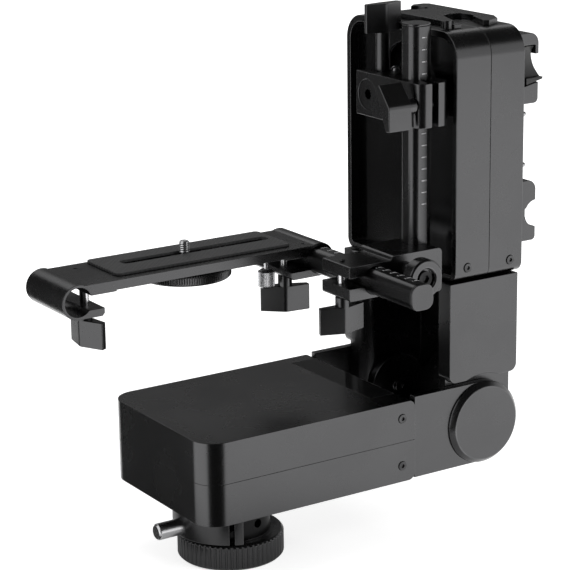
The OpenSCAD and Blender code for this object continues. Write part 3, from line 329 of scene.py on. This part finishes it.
def makeGrainGroup():
    # fine blasted grain: a cloudy tint, a mottled roughness and a bump height
    group = bpy.data.node_groups.new("blastedGrain", "ShaderNodeTree")
    groupSockets(group,
                 [("Grain Scale", "NodeSocketFloat", 900.0), ("Cloud Scale", "NodeSocketFloat", 22.0),
                  ("Dark", "NodeSocketColor", (0.1, 0.1, 0.1, 1)),
                  ("Light", "NodeSocketColor", (0.12, 0.12, 0.12, 1)),
                  ("Rough Low", "NodeSocketFloat", 0.3), ("Rough High", "NodeSocketFloat", 0.4)],
                 [("Color", "NodeSocketColor"), ("Roughness", "NodeSocketFloat"),
                  ("Height", "NodeSocketFloat")])
    nodes, links = group.nodes, group.links
    entry = nodes.new("NodeGroupInput")
    leave = nodes.new("NodeGroupOutput")
    coords = nodes.new("ShaderNodeTexCoord")
    grain = nodes.new("ShaderNodeTexNoise")
    grain.inputs["Detail"].default_value = 3
    cloud = nodes.new("ShaderNodeTexNoise")
    cloud.inputs["Detail"].default_value = 5
    cloud.inputs["Roughness"].default_value = 0.6
    blend = nodes.new("ShaderNodeMath")
    blend.operation = "MULTIPLY_ADD"
    blend.inputs[1].default_value = 0.5
    spread = nodes.new("ShaderNodeMapRange")
    spread.inputs["From Min"].default_value = 0.5
    spread.inputs["From Max"].default_value = 1.0
    tint = nodes.new("ShaderNodeMix")
    tint.data_type = "RGBA"
    rough = nodes.new("ShaderNodeMapRange")
    rough.inputs["From Min"].default_value = 0.25
    rough.inputs["From Max"].default_value = 0.75
    links.new(coords.outputs["Object"], grain.inputs["Vector"])
    links.new(coords.outputs["Object"], cloud.inputs["Vector"])
    links.new(entry.outputs["Grain Scale"], grain.inputs["Scale"])
    links.new(entry.outputs["Cloud Scale"], cloud.inputs["Scale"])
    links.new(grain.outputs["Fac"], blend.inputs[0])
    links.new(cloud.outputs["Fac"], blend.inputs[2])
    links.new(blend.outputs[0], spread.inputs["Value"])
    links.new(spread.outputs["Result"], tint.inputs["Factor"])
    links.new(entry.outputs["Dark"], tint.inputs["A"])
    links.new(entry.outputs["Light"], tint.inputs["B"])
    links.new(cloud.outputs["Fac"], rough.inputs["Value"])
    links.new(entry.outputs["Rough Low"], rough.inputs["To Min"])
    links.new(entry.outputs["Rough High"], rough.inputs["To Max"])
    links.new(tint.outputs["Result"], leave.inputs["Color"])
    links.new(rough.outputs["Result"], leave.inputs["Roughness"])
    links.new(grain.outputs["Fac"], leave.inputs["Height"])
    return group


def makeWearAndHighlightGroup():
    # the paler colour shows through in patches of noise: on the rounded edges a painted highlight, on the
    # screws and plated parts wear
    group = bpy.data.node_groups.new("wearAndEdgeHighlight", "ShaderNodeTree")
    groupSockets(group,
                 [("Color", "NodeSocketColor", (0.1, 0.1, 0.1, 1)),
                  ("PaleWearAndHighlight", "NodeSocketColor", (0.2, 0.2, 0.2, 1)),
                  ("Scale", "NodeSocketFloat", 140.0), ("Amount", "NodeSocketFloat", 0.5)],
                 [("Color", "NodeSocketColor"), ("Mask", "NodeSocketFloat")])
    nodes, links = group.nodes, group.links
    entry = nodes.new("NodeGroupInput")
    leave = nodes.new("NodeGroupOutput")
    coords = nodes.new("ShaderNodeTexCoord")
    noise = nodes.new("ShaderNodeTexNoise")
    noise.inputs["Detail"].default_value = 4
    ramp = nodes.new("ShaderNodeMapRange")
    ramp.inputs["From Min"].default_value = 0.35
    ramp.inputs["From Max"].default_value = 0.7
    times = nodes.new("ShaderNodeMath")
    times.operation = "MULTIPLY"
    mix = nodes.new("ShaderNodeMix")
    mix.data_type = "RGBA"
    links.new(coords.outputs["Object"], noise.inputs["Vector"])
    links.new(entry.outputs["Scale"], noise.inputs["Scale"])
    links.new(noise.outputs["Fac"], ramp.inputs["Value"])
    links.new(ramp.outputs["Result"], times.inputs[0])
    links.new(entry.outputs["Amount"], times.inputs[1])
    links.new(times.outputs[0], mix.inputs["Factor"])
    links.new(entry.outputs["Color"], mix.inputs["A"])
    links.new(entry.outputs["PaleWearAndHighlight"], mix.inputs["B"])
    links.new(mix.outputs["Result"], leave.inputs["Color"])
    links.new(times.outputs[0], leave.inputs["Mask"])
    return group


def makeGridGroup():
    # small raised diamonds in rows: height = |sin u| * |sin v| on axes turned 45 degrees
    group = bpy.data.node_groups.new("diamondGrid", "ShaderNodeTree")
    groupSockets(group, [("Pitch", "NodeSocketFloat", 2.2)], [("Height", "NodeSocketFloat")])
    nodes, links = group.nodes, group.links
    entry = nodes.new("NodeGroupInput")
    leave = nodes.new("NodeGroupOutput")
    coords = nodes.new("ShaderNodeTexCoord")
    parts = nodes.new("ShaderNodeSeparateXYZ")
    scale = nodes.new("ShaderNodeMath")
    scale.operation = "DIVIDE"
    scale.inputs[0].default_value = 1000 * math.pi / math.sqrt(2)
    links.new(entry.outputs["Pitch"], scale.inputs[1])
    links.new(coords.outputs["Object"], parts.inputs[0])
    waves = []
    for operation in ("ADD", "SUBTRACT"):
        mix = nodes.new("ShaderNodeMath")
        mix.operation = operation
        links.new(parts.outputs["X"], mix.inputs[0])
        links.new(parts.outputs["Y"], mix.inputs[1])
        times = nodes.new("ShaderNodeMath")
        times.operation = "MULTIPLY"
        links.new(mix.outputs[0], times.inputs[0])
        links.new(scale.outputs[0], times.inputs[1])
        wave = nodes.new("ShaderNodeMath")
        wave.operation = "SINE"
        links.new(times.outputs[0], wave.inputs[0])
        size = nodes.new("ShaderNodeMath")
        size.operation = "ABSOLUTE"
        links.new(wave.outputs[0], size.inputs[0])
        waves.append(size)
    both = nodes.new("ShaderNodeMath")
    both.operation = "MULTIPLY"
    links.new(waves[0].outputs[0], both.inputs[0])
    links.new(waves[1].outputs[0], both.inputs[1])
    links.new(both.outputs[0], leave.inputs["Height"])
    return group


grainGroup = makeGrainGroup()
wearAndHighlightGroup = makeWearAndHighlightGroup()
gridGroup = makeGridGroup()


def finish(name, dark, light, rough, metallic=0.0, wearAndHighlight=None, grain=900.0, bump=0.02, specular=0.5,
           grid=0.0):
    # a Principled material fed by the grain group and, where asked, by the wear and painted highlight group
    # and the diamond group
    mat = bpy.data.materials.new(name)
    mat.use_nodes = True
    nodes, links = mat.node_tree.nodes, mat.node_tree.links
    nodes.clear()
    out = nodes.new("ShaderNodeOutputMaterial")
    shader = nodes.new("ShaderNodeBsdfPrincipled")
    shader.inputs["Metallic"].default_value = metallic
    shader.inputs["Specular IOR Level"].default_value = specular
    surface = nodes.new("ShaderNodeGroup")
    surface.node_tree = grainGroup
    surface.inputs["Grain Scale"].default_value = grain
    surface.inputs["Dark"].default_value = (*dark, 1)
    surface.inputs["Light"].default_value = (*light, 1)
    surface.inputs["Rough Low"].default_value = rough[0]
    surface.inputs["Rough High"].default_value = rough[1]
    colour = surface.outputs["Color"]
    if wearAndHighlight:
        edge = nodes.new("ShaderNodeGroup")
        edge.node_tree = wearAndHighlightGroup
        edge.inputs["PaleWearAndHighlight"].default_value = (*wearAndHighlight, 1)
        links.new(colour, edge.inputs["Color"])
        colour = edge.outputs["Color"]
    links.new(colour, shader.inputs["Base Color"])
    links.new(surface.outputs["Roughness"], shader.inputs["Roughness"])
    height = nodes.new("ShaderNodeBump")
    height.inputs["Strength"].default_value = bump
    height.inputs["Distance"].default_value = 0.0003
    links.new(surface.outputs["Height"], height.inputs["Height"])
    if grid:
        pattern = nodes.new("ShaderNodeGroup")
        pattern.node_tree = gridGroup
        pattern.inputs["Pitch"].default_value = grid
        raised = nodes.new("ShaderNodeBump")
        raised.inputs["Strength"].default_value = 0.6
        raised.inputs["Distance"].default_value = 0.0004
        links.new(pattern.outputs["Height"], raised.inputs["Height"])
        links.new(raised.outputs["Normal"], height.inputs["Normal"])
    links.new(height.outputs["Normal"], shader.inputs["Normal"])
    links.new(shader.outputs[0], out.inputs["Surface"])
    return mat


def grey(value, blue=1.02):
    # a grey with a trace of blue
    return (value, value, value * blue)


anodised = {"rough": (0.24, 0.3), "metallic": 1.0, "grain": 2500, "bump": 0.012}
moulded = {"rough": (0.25, 0.31), "metallic": 1.0, "grain": 2800, "bump": 0.015}
finishes = {
    # material slot: finish
    "black_anodised": finish("blackAnodised", grey(0.077), grey(0.088), **anodised),
    "gloss_black": finish("glossBlack", grey(0.085), grey(0.1), (0.12, 0.2), metallic=1.0, bump=0.0),
    "display_glass": finish("displayGlass", grey(0.004), grey(0.007), (0.06, 0.1), bump=0.0, specular=0.27),
    "silver_steel": finish("silverSteel", grey(0.55), grey(0.7), (0.2, 0.3), metallic=1.0, bump=0.01),
    "black_plastic": finish("blackPlastic", grey(0.075), grey(0.087), **moulded),
    "black_rubber": finish("blackRubber", grey(0.03), grey(0.045), (0.5, 0.62), grain=1600, bump=0.06,
                           grid=2.2),
    "yellow_brass": finish("yellowBrass", (0.55, 0.4, 0.16), (0.72, 0.55, 0.26), (0.25, 0.35), metallic=1.0),
    "grey_motor": finish("greyMotor", grey(0.12), grey(0.2), (0.35, 0.45), metallic=1.0),
    "green_board": finish("greenBoard", (0.01, 0.09, 0.035), (0.02, 0.14, 0.06), (0.3, 0.4)),
    "bare_aluminium": finish("bareAluminium", grey(0.45), grey(0.6), (0.3, 0.4), metallic=1.0),
}
edgeHighlightFinishes = {
    # the same finishes painted paler, a painted highlight for the rounded edges, with paler patches of noise
    "black_anodised": finish("blackAnodisedEdgeHighlight", grey(0.085), grey(0.1), wearAndHighlight=grey(0.16), **anodised),
    "black_plastic": finish("blackPlasticEdgeHighlight", grey(0.085), grey(0.1), wearAndHighlight=grey(0.15), **moulded),
    "silver_steel": finish("silverSteelEdgeHighlight", grey(0.6), grey(0.75), (0.16, 0.24), metallic=1.0,
                           wearAndHighlight=grey(0.85)),
}
whiteInk = finish("whiteInk", grey(0.62), grey(0.75), (0.5, 0.6), grain=1500, bump=0.02)
blackSteel = finish("blackSteel", grey(0.035), grey(0.05), (0.22, 0.3), metallic=1.0, wearAndHighlight=grey(0.12))
darkSocket = finish("darkSocket", grey(0.014), grey(0.02), (0.2, 0.28), metallic=1.0, wearAndHighlight=grey(0.05))
# the hub's colour is darker than the black anodising: painted shade between the base and the wheel
hubShadedBlack = finish("hubShadedBlack", grey(0.022), grey(0.03), (0.26, 0.34), metallic=1.0, grain=2500, bump=0.012)
leverPlastic = finish("leverPlastic", grey(0.010), grey(0.016), (0.4, 0.48), grain=1800, bump=0.05)
nickelPlate = finish("nickelPlate", grey(0.3), grey(0.36), (0.22, 0.3), metallic=1.0, wearAndHighlight=grey(0.45))
slotOf = {s["node"]: s["material_slot"] for s in frame["record"]["subparts"]}
for node, obj in frame["nodes"].items():
    obj.data.materials.clear()
    obj.data.materials.append(finishes[slotOf[node]])
print("finishes ready")


ownFinish = {
    # seen nodes whose finish is not their slot's: blackened screws and flange, a hub darkened with painted
    # shade, nickel contacts
    "base_screws": blackSteel, "tower_screws": blackSteel, "arm_knob_screw": blackSteel,
    "tilt_bearing": blackSteel, "dial_screw": darkSocket, "adapter_hub": hubShadedBlack,
    "contact_pins": nickelPlate, "release_lever": leverPlastic,
}


def softened(node, width):
    # a merged copy of a CAD node with its sharp edges rounded by width millimetres
    work = bmesh.new()
    work.from_mesh(frame["nodes"][node].data)
    bmesh.ops.remove_doubles(work, verts=work.verts, dist=1e-6)
    bmesh.ops.dissolve_limit(work, angle_limit=math.radians(0.6), verts=work.verts, edges=work.edges)
    mesh = bpy.data.meshes.new(node + "_soft")
    work.to_mesh(mesh)
    work.free()
    mesh.polygons.foreach_set("use_smooth", np.full(len(mesh.polygons), True))
    obj = newObject(node + "_soft", mesh)
    slot = slotOf[node]
    main = ownFinish.get(node, finishes[slot])
    placeOn(obj, bodyOf[node], main, [node])
    # the rounded edges get the paler edge finish, a painted highlight
    if slot in edgeHighlightFinishes and node not in ownFinish:
        mesh.materials.append(edgeHighlightFinishes[slot])
    roundEdges(obj, width)


def roundEdges(obj, width, segments=2, angle=32):
    # the rounded strips take the last material slot, the edge finish with its painted highlight where there
    # is one
    bevel = obj.modifiers.new("edges", "BEVEL")
    bevel.width = width * mm
    bevel.segments = segments
    bevel.limit_method = "ANGLE"
    bevel.angle_limit = math.radians(angle)
    bevel.use_clamp_overlap = False
    bevel.miter_outer = "MITER_ARC"
    bevel.material = len(obj.data.materials) - 1
    even = obj.modifiers.new("evenNormals", "WEIGHTED_NORMAL")
    even.weight = 60
    even.keep_sharp = True


softWidths = {
    # node: rounding in mm
    "adapter_wheel": 0.2, "adapter_hub": 0.3, "lock_ring": 0.4, "lock_pin": 0.3,
    "base_lower_shell": 0.2, "base_upper_shell": 0.3, "base_frame": 0.4, "display_window": 0.2,
    "hinge_caps": 0.5, "base_screws": 0.15, "tower_leg": 0.4, "tower_cover_front": 0.4,
    "tower_cover_back": 0.4, "tower_panel": 0.2, "inner_hinge_disc": 0.5, "tower_screws": 0.15,
    "battery_upper_bracket": 0.4, "battery_lower_bracket": 0.4, "battery_plate": 0.2,
    "release_lever": 0.3, "contact_pins": 0.1, "top_tool": 0.3, "tilt_arm": 0.4,
    "tilt_bearing": 0.2, "shaft_knob_screw": 0.15, "arm_knob_screw": 0.15,
    "vertical_rail": 0.3, "rail_cap": 0.4, "rail_bracket": 0.3, "lock_dial": 0.3,
    "dial_screw": 0.15, "bracket_knob_screw": 0.15, "horizontal_rod": 0.3, "rod_caps": 0.4,
    "camera_plate": 0.3, "rubber_pad": 0.3, "slot_washer": 0.15, "left_knob_screw": 0.15,
    "right_knob_screw": 0.15,
}
for node, width in softWidths.items():
    softened(node, width)
# the shaft's blackened end shows flush in the tilt arm
frame["nodes"]["tilt_shaft"].data.materials[0] = finishes["black_anodised"]
print("edges rounded on", len(softWidths), "nodes")


def mmBox(node):
    # a node's lowest and highest corners in millimetres
    low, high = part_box(node)
    return np.array(low) / mm, np.array(high) / mm


def helix(depth, pitch, low, high):
    # a thread cut into a rod: depth * triangle(h / pitch - t / 2 pi), faded out at both ends
    def cut(t, h, r):
        turn = np.mod(h / pitch - t / (2 * math.pi), 1.0)
        wave = np.abs(2 * turn - 1)
        fade = np.clip((h - low) / 0.6, 0, 1) * np.clip((high - h) / 0.6, 0, 1)
        return -depth * wave * fade
    return cut


def knurl(count, depth, low, high, radius):
    # straight ridges round the rim: depth * |sin(count t / 2)|, only on the rim's own wall
    def cut(t, h, r):
        wall = (r > radius - 0.05) & (h >= low) & (h <= high)
        return -depth * (1 - np.abs(np.sin(count * t / 2))) * wall
    return cut


# the 1/4 inch camera stud, in mm: rows is the spacing of the points along the thread
stud = {"thread": 3.1, "shank": 2.6, "depth": 0.32, "pitch": 1.27, "tip": 0.8, "rows": 0.16, "cols": 48}


def makeStud():
    # a plain shank through the plate, and above the pad a rod with a helical thread
    low, high = mmBox("camera_stud")
    x, y = (low[:2] + high[:2]) / 2
    z0, z1 = low[2], high[2]
    start = mmBox("rubber_pad")[1][2] + 0.3
    s = stud
    profile = [(0, z0), (s["shank"] - 0.3, z0), (s["shank"], z0 + 0.3), (s["shank"], start)]
    threaded = filled([(s["thread"], start + 0.01), (s["thread"], z1 - s["tip"])], s["rows"])
    profile += [tuple(p) for p in threaded]
    profile += [(s["thread"] - s["tip"], z1), (1.6, z1), (1.5, z1 - 0.1), (0, z1 - 0.1)]
    cut = helix(s["depth"], s["pitch"], start, z1 - s["tip"] + 0.3)
    obj = turned("threadedStud", profile, (x, y, 0), cols=s["cols"], sharp=50,
                 relief=lambda t, h, r: np.where(r > s["thread"] - 0.02, cut(t, h, r), 0))
    placeOn(obj, "stud", finishes["silver_steel"], ["camera_stud"])


# the wheel under the plate, in mm: dish is the radius of its middle, rim the width of its rim,
# hollow and foot the heights of the hollow between them and of the rim's underside
thumbwheel = {
    "knurls": 110, "depth": 0.55, "dish": 9.0, "rim": 4.0, "hollow": 1.8, "foot": 0.6, "chamfer": 0.9,
}


def makeThumbwheel():
    # a closed profile carried round the stud, its rim's wall knurled
    low, high = mmBox("thumbwheel")
    x, y = (low[:2] + high[:2]) / 2
    radius = (high[0] - low[0]) / 2
    z0, z1 = low[2], high[2]
    w = thumbwheel
    bore = stud["shank"] + 0.02
    edge, hollow, foot = radius - w["chamfer"], z0 + w["hollow"], z0 + w["foot"]
    wall = filled([(radius, foot + w["chamfer"]), (radius, z1 - w["chamfer"])], 1.2)
    profile = [(bore, z0), (w["dish"], z0), (w["dish"], hollow), (radius - w["rim"], hollow),
               (radius - w["rim"] + 1, foot), (edge, foot)]
    profile += [tuple(p) for p in wall] + [(edge, z1), (bore, z1)]
    obj = turned("knurledWheel", profile, (x, y, 0), cols=w["knurls"] * 4, ring=True,
                 relief=knurl(w["knurls"], w["depth"], z0 + 1, z1 - 0.5, radius))
    placeOn(obj, "stud", finishes["black_anodised"], ["thumbwheel"])


# the small silver thumbscrew, in mm: head is the length of its knurled head
thumbscrew = {"knurls": 36, "depth": 0.4, "stem": 1.5, "head": 11}


def makeThumbscrew():
    # a knurled head below and a thin stem above, turned about its own axis
    low, high = mmBox("spare_thumbscrew")
    x, y = (low[:2] + high[:2]) / 2
    radius = (high[0] - low[0]) / 2
    z0, z2 = low[2], high[2]
    w = thumbscrew
    z1 = z0 + w["head"]
    profile = [(0, z0), (radius - 0.7, z0), (radius, z0 + 0.7)]
    profile += [tuple(p) for p in filled([(radius, z0 + 0.8), (radius, z1 - 1.5)], 1.5)]
    profile += [(radius - 2.2, z1), (w["stem"], z1), (w["stem"], z2), (0, z2)]
    obj = turned("knurledThumbscrew", profile, (x, y, 0), cols=w["knurls"] * 6,
                 relief=knurl(w["knurls"], w["depth"], z0 + 0.75, z1 - 1.45, radius))
    placeOn(obj, "spare_screw", finishes["silver_steel"], ["spare_thumbscrew"])


# the 3/8 inch stand thread in the adapter wheel, in mm: from and to are heights
standThread = {"radius": 4.4, "depth": 0.25, "pitch": 1.5875, "from": 0.6, "to": 13.4, "rows": 0.2}


def makeStandThread():
    # ridges inside the wheel's bore: a thin ring of the bore's radius whose inner face winds in
    w = standThread
    heights = np.arange(w["from"], w["to"], w["rows"])
    inner = [(w["radius"] - 0.02, h) for h in heights]
    outer = [(w["radius"] + 0.02, heights[-1]), (w["radius"] + 0.02, heights[0])]
    cut = helix(w["depth"], w["pitch"], heights[0], heights[-1])
    obj = turned("standThread", inner + outer, (0, 0, 0), cols=64, ring=True, sharp=60,
                 relief=lambda t, h, r: np.where(r < w["radius"], cut(t, h, r), 0))
    placeOn(obj, "adapter", finishes["silver_steel"])


makeStud()
makeThumbwheel()
makeThumbscrew()
makeStandThread()
print("threads and knurls cut")


# wing knobs: two wings that meet at an obtuse angle, their outer faces touching the neck's round
wingShape = {"neckRadius": 4.3, "tip": 3.8, "half": 71.5, "bore": 3.22, "sides": 40, "edge": 0.5}
wingKnobs = {
    # node: (body, axis point in mm where the neck starts, way out, way the open side looks,
    #        neck, height, one wing's length, the other's)
    "left_knob": ("left_knob", (-80.5, 22, 158.8), (0, 0, -1), (0.988, 0.153, 0), 4.6, 16, 14.5, 14.5),
    "right_knob": ("right_knob", (55.6, 22, 158.8), (0, 0, -1), (0.419, 0.908, 0), 6.8, 16, 14.5, 14.5),
    "bracket_knob": ("bracket_knob", (56, -39, 158.8), (0, 0, -1), (0.038, 0.999, 0), 5.8, 16, 14.5, 14.5),
    "shaft_knob": ("shaft_knob", (112.7, 0, 280.1), (0, 0, 1), (-0.07, 0.998, 0), 22.9, 17.1, 14.0, 11.8),
    "arm_knob": ("arm_knob", (101, -46.8, 266.8), (-1, 0, 0), (0, 0.936, -0.352), 4.4, 16, 14.3, 12.7),
}


def wingOutline(first, second):
    # outline in the knob's own plane, the open side towards +y: front arc between the two outer
    # faces, wing end, back of the neck, wing end
    w = wingShape
    r, half = w["neckRadius"], math.radians(w["half"])
    points = []
    for side, long in ((1, first), (-1, second)):
        along = np.array([side * math.sin(half), math.cos(half)])
        outward = np.array([side * math.cos(half), -math.sin(half)])
        outer = r * outward + long * along
        points.append((math.atan2(outward[1], outward[0]), outer, outer - w["tip"] * outward))
    (a1, outer1, inner1), (a2, outer2, inner2) = points
    turn = np.linspace(a2 % (2 * math.pi), a1 % (2 * math.pi), 9)
    front = r * np.stack([np.cos(turn), np.sin(turn)], -1)
    back = np.array([[0.5, 1.0], [0, 1.0], [-0.5, 1.0]]) * (1, r)
    return np.concatenate([front, [outer1, inner1], back, [inner2, outer2]])


def prism(outline, low, high):
    # a closed solid: the outline at two heights with its two caps
    n = len(outline)
    points = np.concatenate([np.c_[outline, np.full(n, low)], np.c_[outline, np.full(n, high)]])
    faces = [list(range(n - 1, -1, -1)), list(range(n, 2 * n))]
    faces += [[i, (i + 1) % n, (i + 1) % n + n, i + n] for i in range(n)]
    return points, faces


def makeWingKnob(node, body, start, out, opening, neck, tall, first, second):
    # the wings' prism and the neck, turned onto the knob: point = start + side x + opening y + out z
    w = wingShape
    out, opening = np.array(out, float), np.array(opening, float)
    side = np.cross(opening, out)
    turn = np.stack([side, opening, out])
    wings, wingFaces = prism(wingOutline(first, second), neck, neck + tall)
    # the neck is a ring: point = (r cos t, r sin t, h) round a closed profile
    t = np.linspace(0, 2 * math.pi, w["sides"], endpoint=False)
    radius, top = w["neckRadius"], neck + 0.6
    rings = [(w["bore"], 0.0), (radius - 0.3, 0.0), (radius, 0.3), (radius, top), (w["bore"], top)]
    collar = np.concatenate([np.stack([r * np.cos(t), r * np.sin(t), 0 * t + h], -1) for r, h in rings])
    collarFaces = gridFaces(len(rings), w["sides"], True, True) + len(wings)
    points = np.concatenate([wings, collar]) @ turn + np.array(start, float)
    obj = newObject(node + "_wings", bpy.data.meshes.new(node + "_wings"))
    obj.data.from_pydata((points * mm).tolist(), [], wingFaces + collarFaces.tolist())
    obj.data.update()
    closeUp(obj)
    obj.data.polygons.foreach_set("use_smooth", np.full(len(obj.data.polygons), True))
    placeOn(obj, body, finishes["black_plastic"], [node])
    # the wings' rounded edges get the paler edge finish, a painted highlight
    obj.data.materials.append(edgeHighlightFinishes["black_plastic"])
    roundEdges(obj, w["edge"], 3)


for node, values in wingKnobs.items():
    makeWingKnob(node, *values)
print("wing knobs made")


# small fasteners: screw tips seen on the plate and the bracket, and the dome on the tilt arm
tips = {
    # name: (body, centre on the surface in mm, radius, height)
    "plateTipLeft": ("plate", (-75.0, 36.5, 178.6), 1.5, 0.25),
    "plateTipRight": ("plate", (59.6, 26.1, 178.6), 1.5, 0.25),
    "bracketTip": ("rail", (56.5, -38.4, 180.4), 1.5, 0.25),
}
dome = {"body": "cradle", "place": (119.9, -2.8, 279.8), "radius": 2.7}


def makeTips():
    for name, (body, place, radius, tall) in tips.items():
        # a low pan head with a small socket
        profile = [(0, -0.6), (radius, -0.6), (radius, tall * 0.5), (radius - 0.3, tall),
                   (radius * 0.45, tall), (radius * 0.4, tall - 0.3), (0, tall - 0.3)]
        placeOn(turned(name, profile, place, cols=32), body, blackSteel)
    # the dome is half a ball: radius r cos a, height r sin a
    d = dome
    a = np.radians(np.linspace(0, 90, 12))
    profile = [(0, -0.5), (d["radius"], -0.5)] + list(zip(d["radius"] * np.cos(a), d["radius"] * np.sin(a)))
    placeOn(turned("armDome", profile, d["place"], cols=40, sharp=60), d["body"], nickelPlate)


makeTips()
print("small fasteners made")


# the printed scales, in mm: bars run across the rail from and to, numbers have a middle and a size;
# clear is the way left free at the far end, corner the radius of the rail's section
scales = {
    "step": 7.03, "count": 15, "clear": 8.0, "barWide": 0.5, "thick": 0.04, "stations": 9, "corner": 5.2,
    "railFirst": 6.5, "railBar": (6.2, 8.3), "railDigit": (9.0, 1.25),
    "rodFirst": 8.0, "rodBar": (8.6, 12.8), "rodDigit": (7.4, 2.0),
}


def makeDigits(text, size):
    # plain numerals from the built-in typeface, as a thin mesh in millimetres lying in x and y
    curve = bpy.data.curves.new("numerals", "FONT")
    curve.body = text
    curve.size = size
    curve.extrude = scales["thick"] / 2
    curve.align_x, curve.align_y = "CENTER", "CENTER"
    curve.resolution_u = 2
    shape = newObject("numerals", curve)
    bpy.context.view_layer.update()
    mesh = bpy.data.meshes.new_from_object(shape.evaluated_get(bpy.context.evaluated_depsgraph_get()))
    points = np.empty(len(mesh.vertices) * 3)
    mesh.vertices.foreach_get("co", points)
    faces = [tuple(p.vertices) for p in mesh.polygons]
    bpy.data.objects.remove(shape)
    bpy.data.curves.remove(curve)
    bpy.data.meshes.remove(mesh)
    return points.reshape(-1, 3), faces


def printedBar(start, end):
    # a flat rectangular section carried along x, so that it can follow the rail's round corner
    n = scales["stations"]
    section = np.array([[-1, 0], [1, 0], [1, 1], [-1, 1]]) * (scales["barWide"] / 2, scales["thick"])
    points = np.c_[np.repeat(np.linspace(start, end, n), 4), np.tile(section, (n, 1))]
    faces = [tuple(f) for f in gridFaces(n, 4, True)[:, ::-1].tolist()]
    return points, faces + [(0, 1, 2, 3), tuple(range(4 * n - 1, 4 * n - 5, -1))]


def makeScale(node, name, along, way, first, bar, digit, turn):
    # bars and numbers laid across the rail's width and lowered onto its rounded section:
    # drop = r - sqrt(r^2 - d^2), d the way past the flat strip
    s = scales
    low, high = mmBox(node)
    wide = high[0] - low[0]
    allPoints, allFaces, count = [], [], 0
    for i in range(s["count"]):
        place = first + i * s["step"]
        if place > high[along] - low[along] - s["clear"]:
            break
        numeral, numeralFaces = makeDigits(str(i + 1), digit[1])
        for points, faces in (printedBar(*bar), (numeral + (digit[0], 0, s["thick"] / 2), numeralFaces)):
            past = np.clip(np.abs(points[:, 0] - wide / 2) - (wide / 2 - s["corner"]), 0, s["corner"])
            points[:, 2] -= s["corner"] - np.sqrt(s["corner"] ** 2 - past ** 2)
            allPoints.append(points + (0, way * place, 0))
            allFaces += [tuple(k + count for k in f) for f in faces]
            count += len(points)
    mesh = bpy.data.meshes.new(name)
    corner = np.array([low[0], low[1], high[2]])
    mesh.from_pydata(((np.concatenate(allPoints) @ turn.T + corner) * mm).tolist(), [], allFaces)
    placeOn(closeUp(newObject(name, mesh)), bodyOf[node], whiteInk)


def makeScales():
    # the upright rail's scale starts at its top and looks to -Y, the level rod's in front, looking up
    s = scales
    upright = np.array([[1, 0, 0], [0, 0, -1], [0, 1, 0]], float)
    makeScale("vertical_rail", "railScale", 2, -1, s["railFirst"], s["railBar"], s["railDigit"], upright)
    makeScale("horizontal_rod", "rodScale", 1, 1, s["rodFirst"], s["rodBar"], s["rodDigit"], np.eye(3))


makeScales()
print("scales printed")
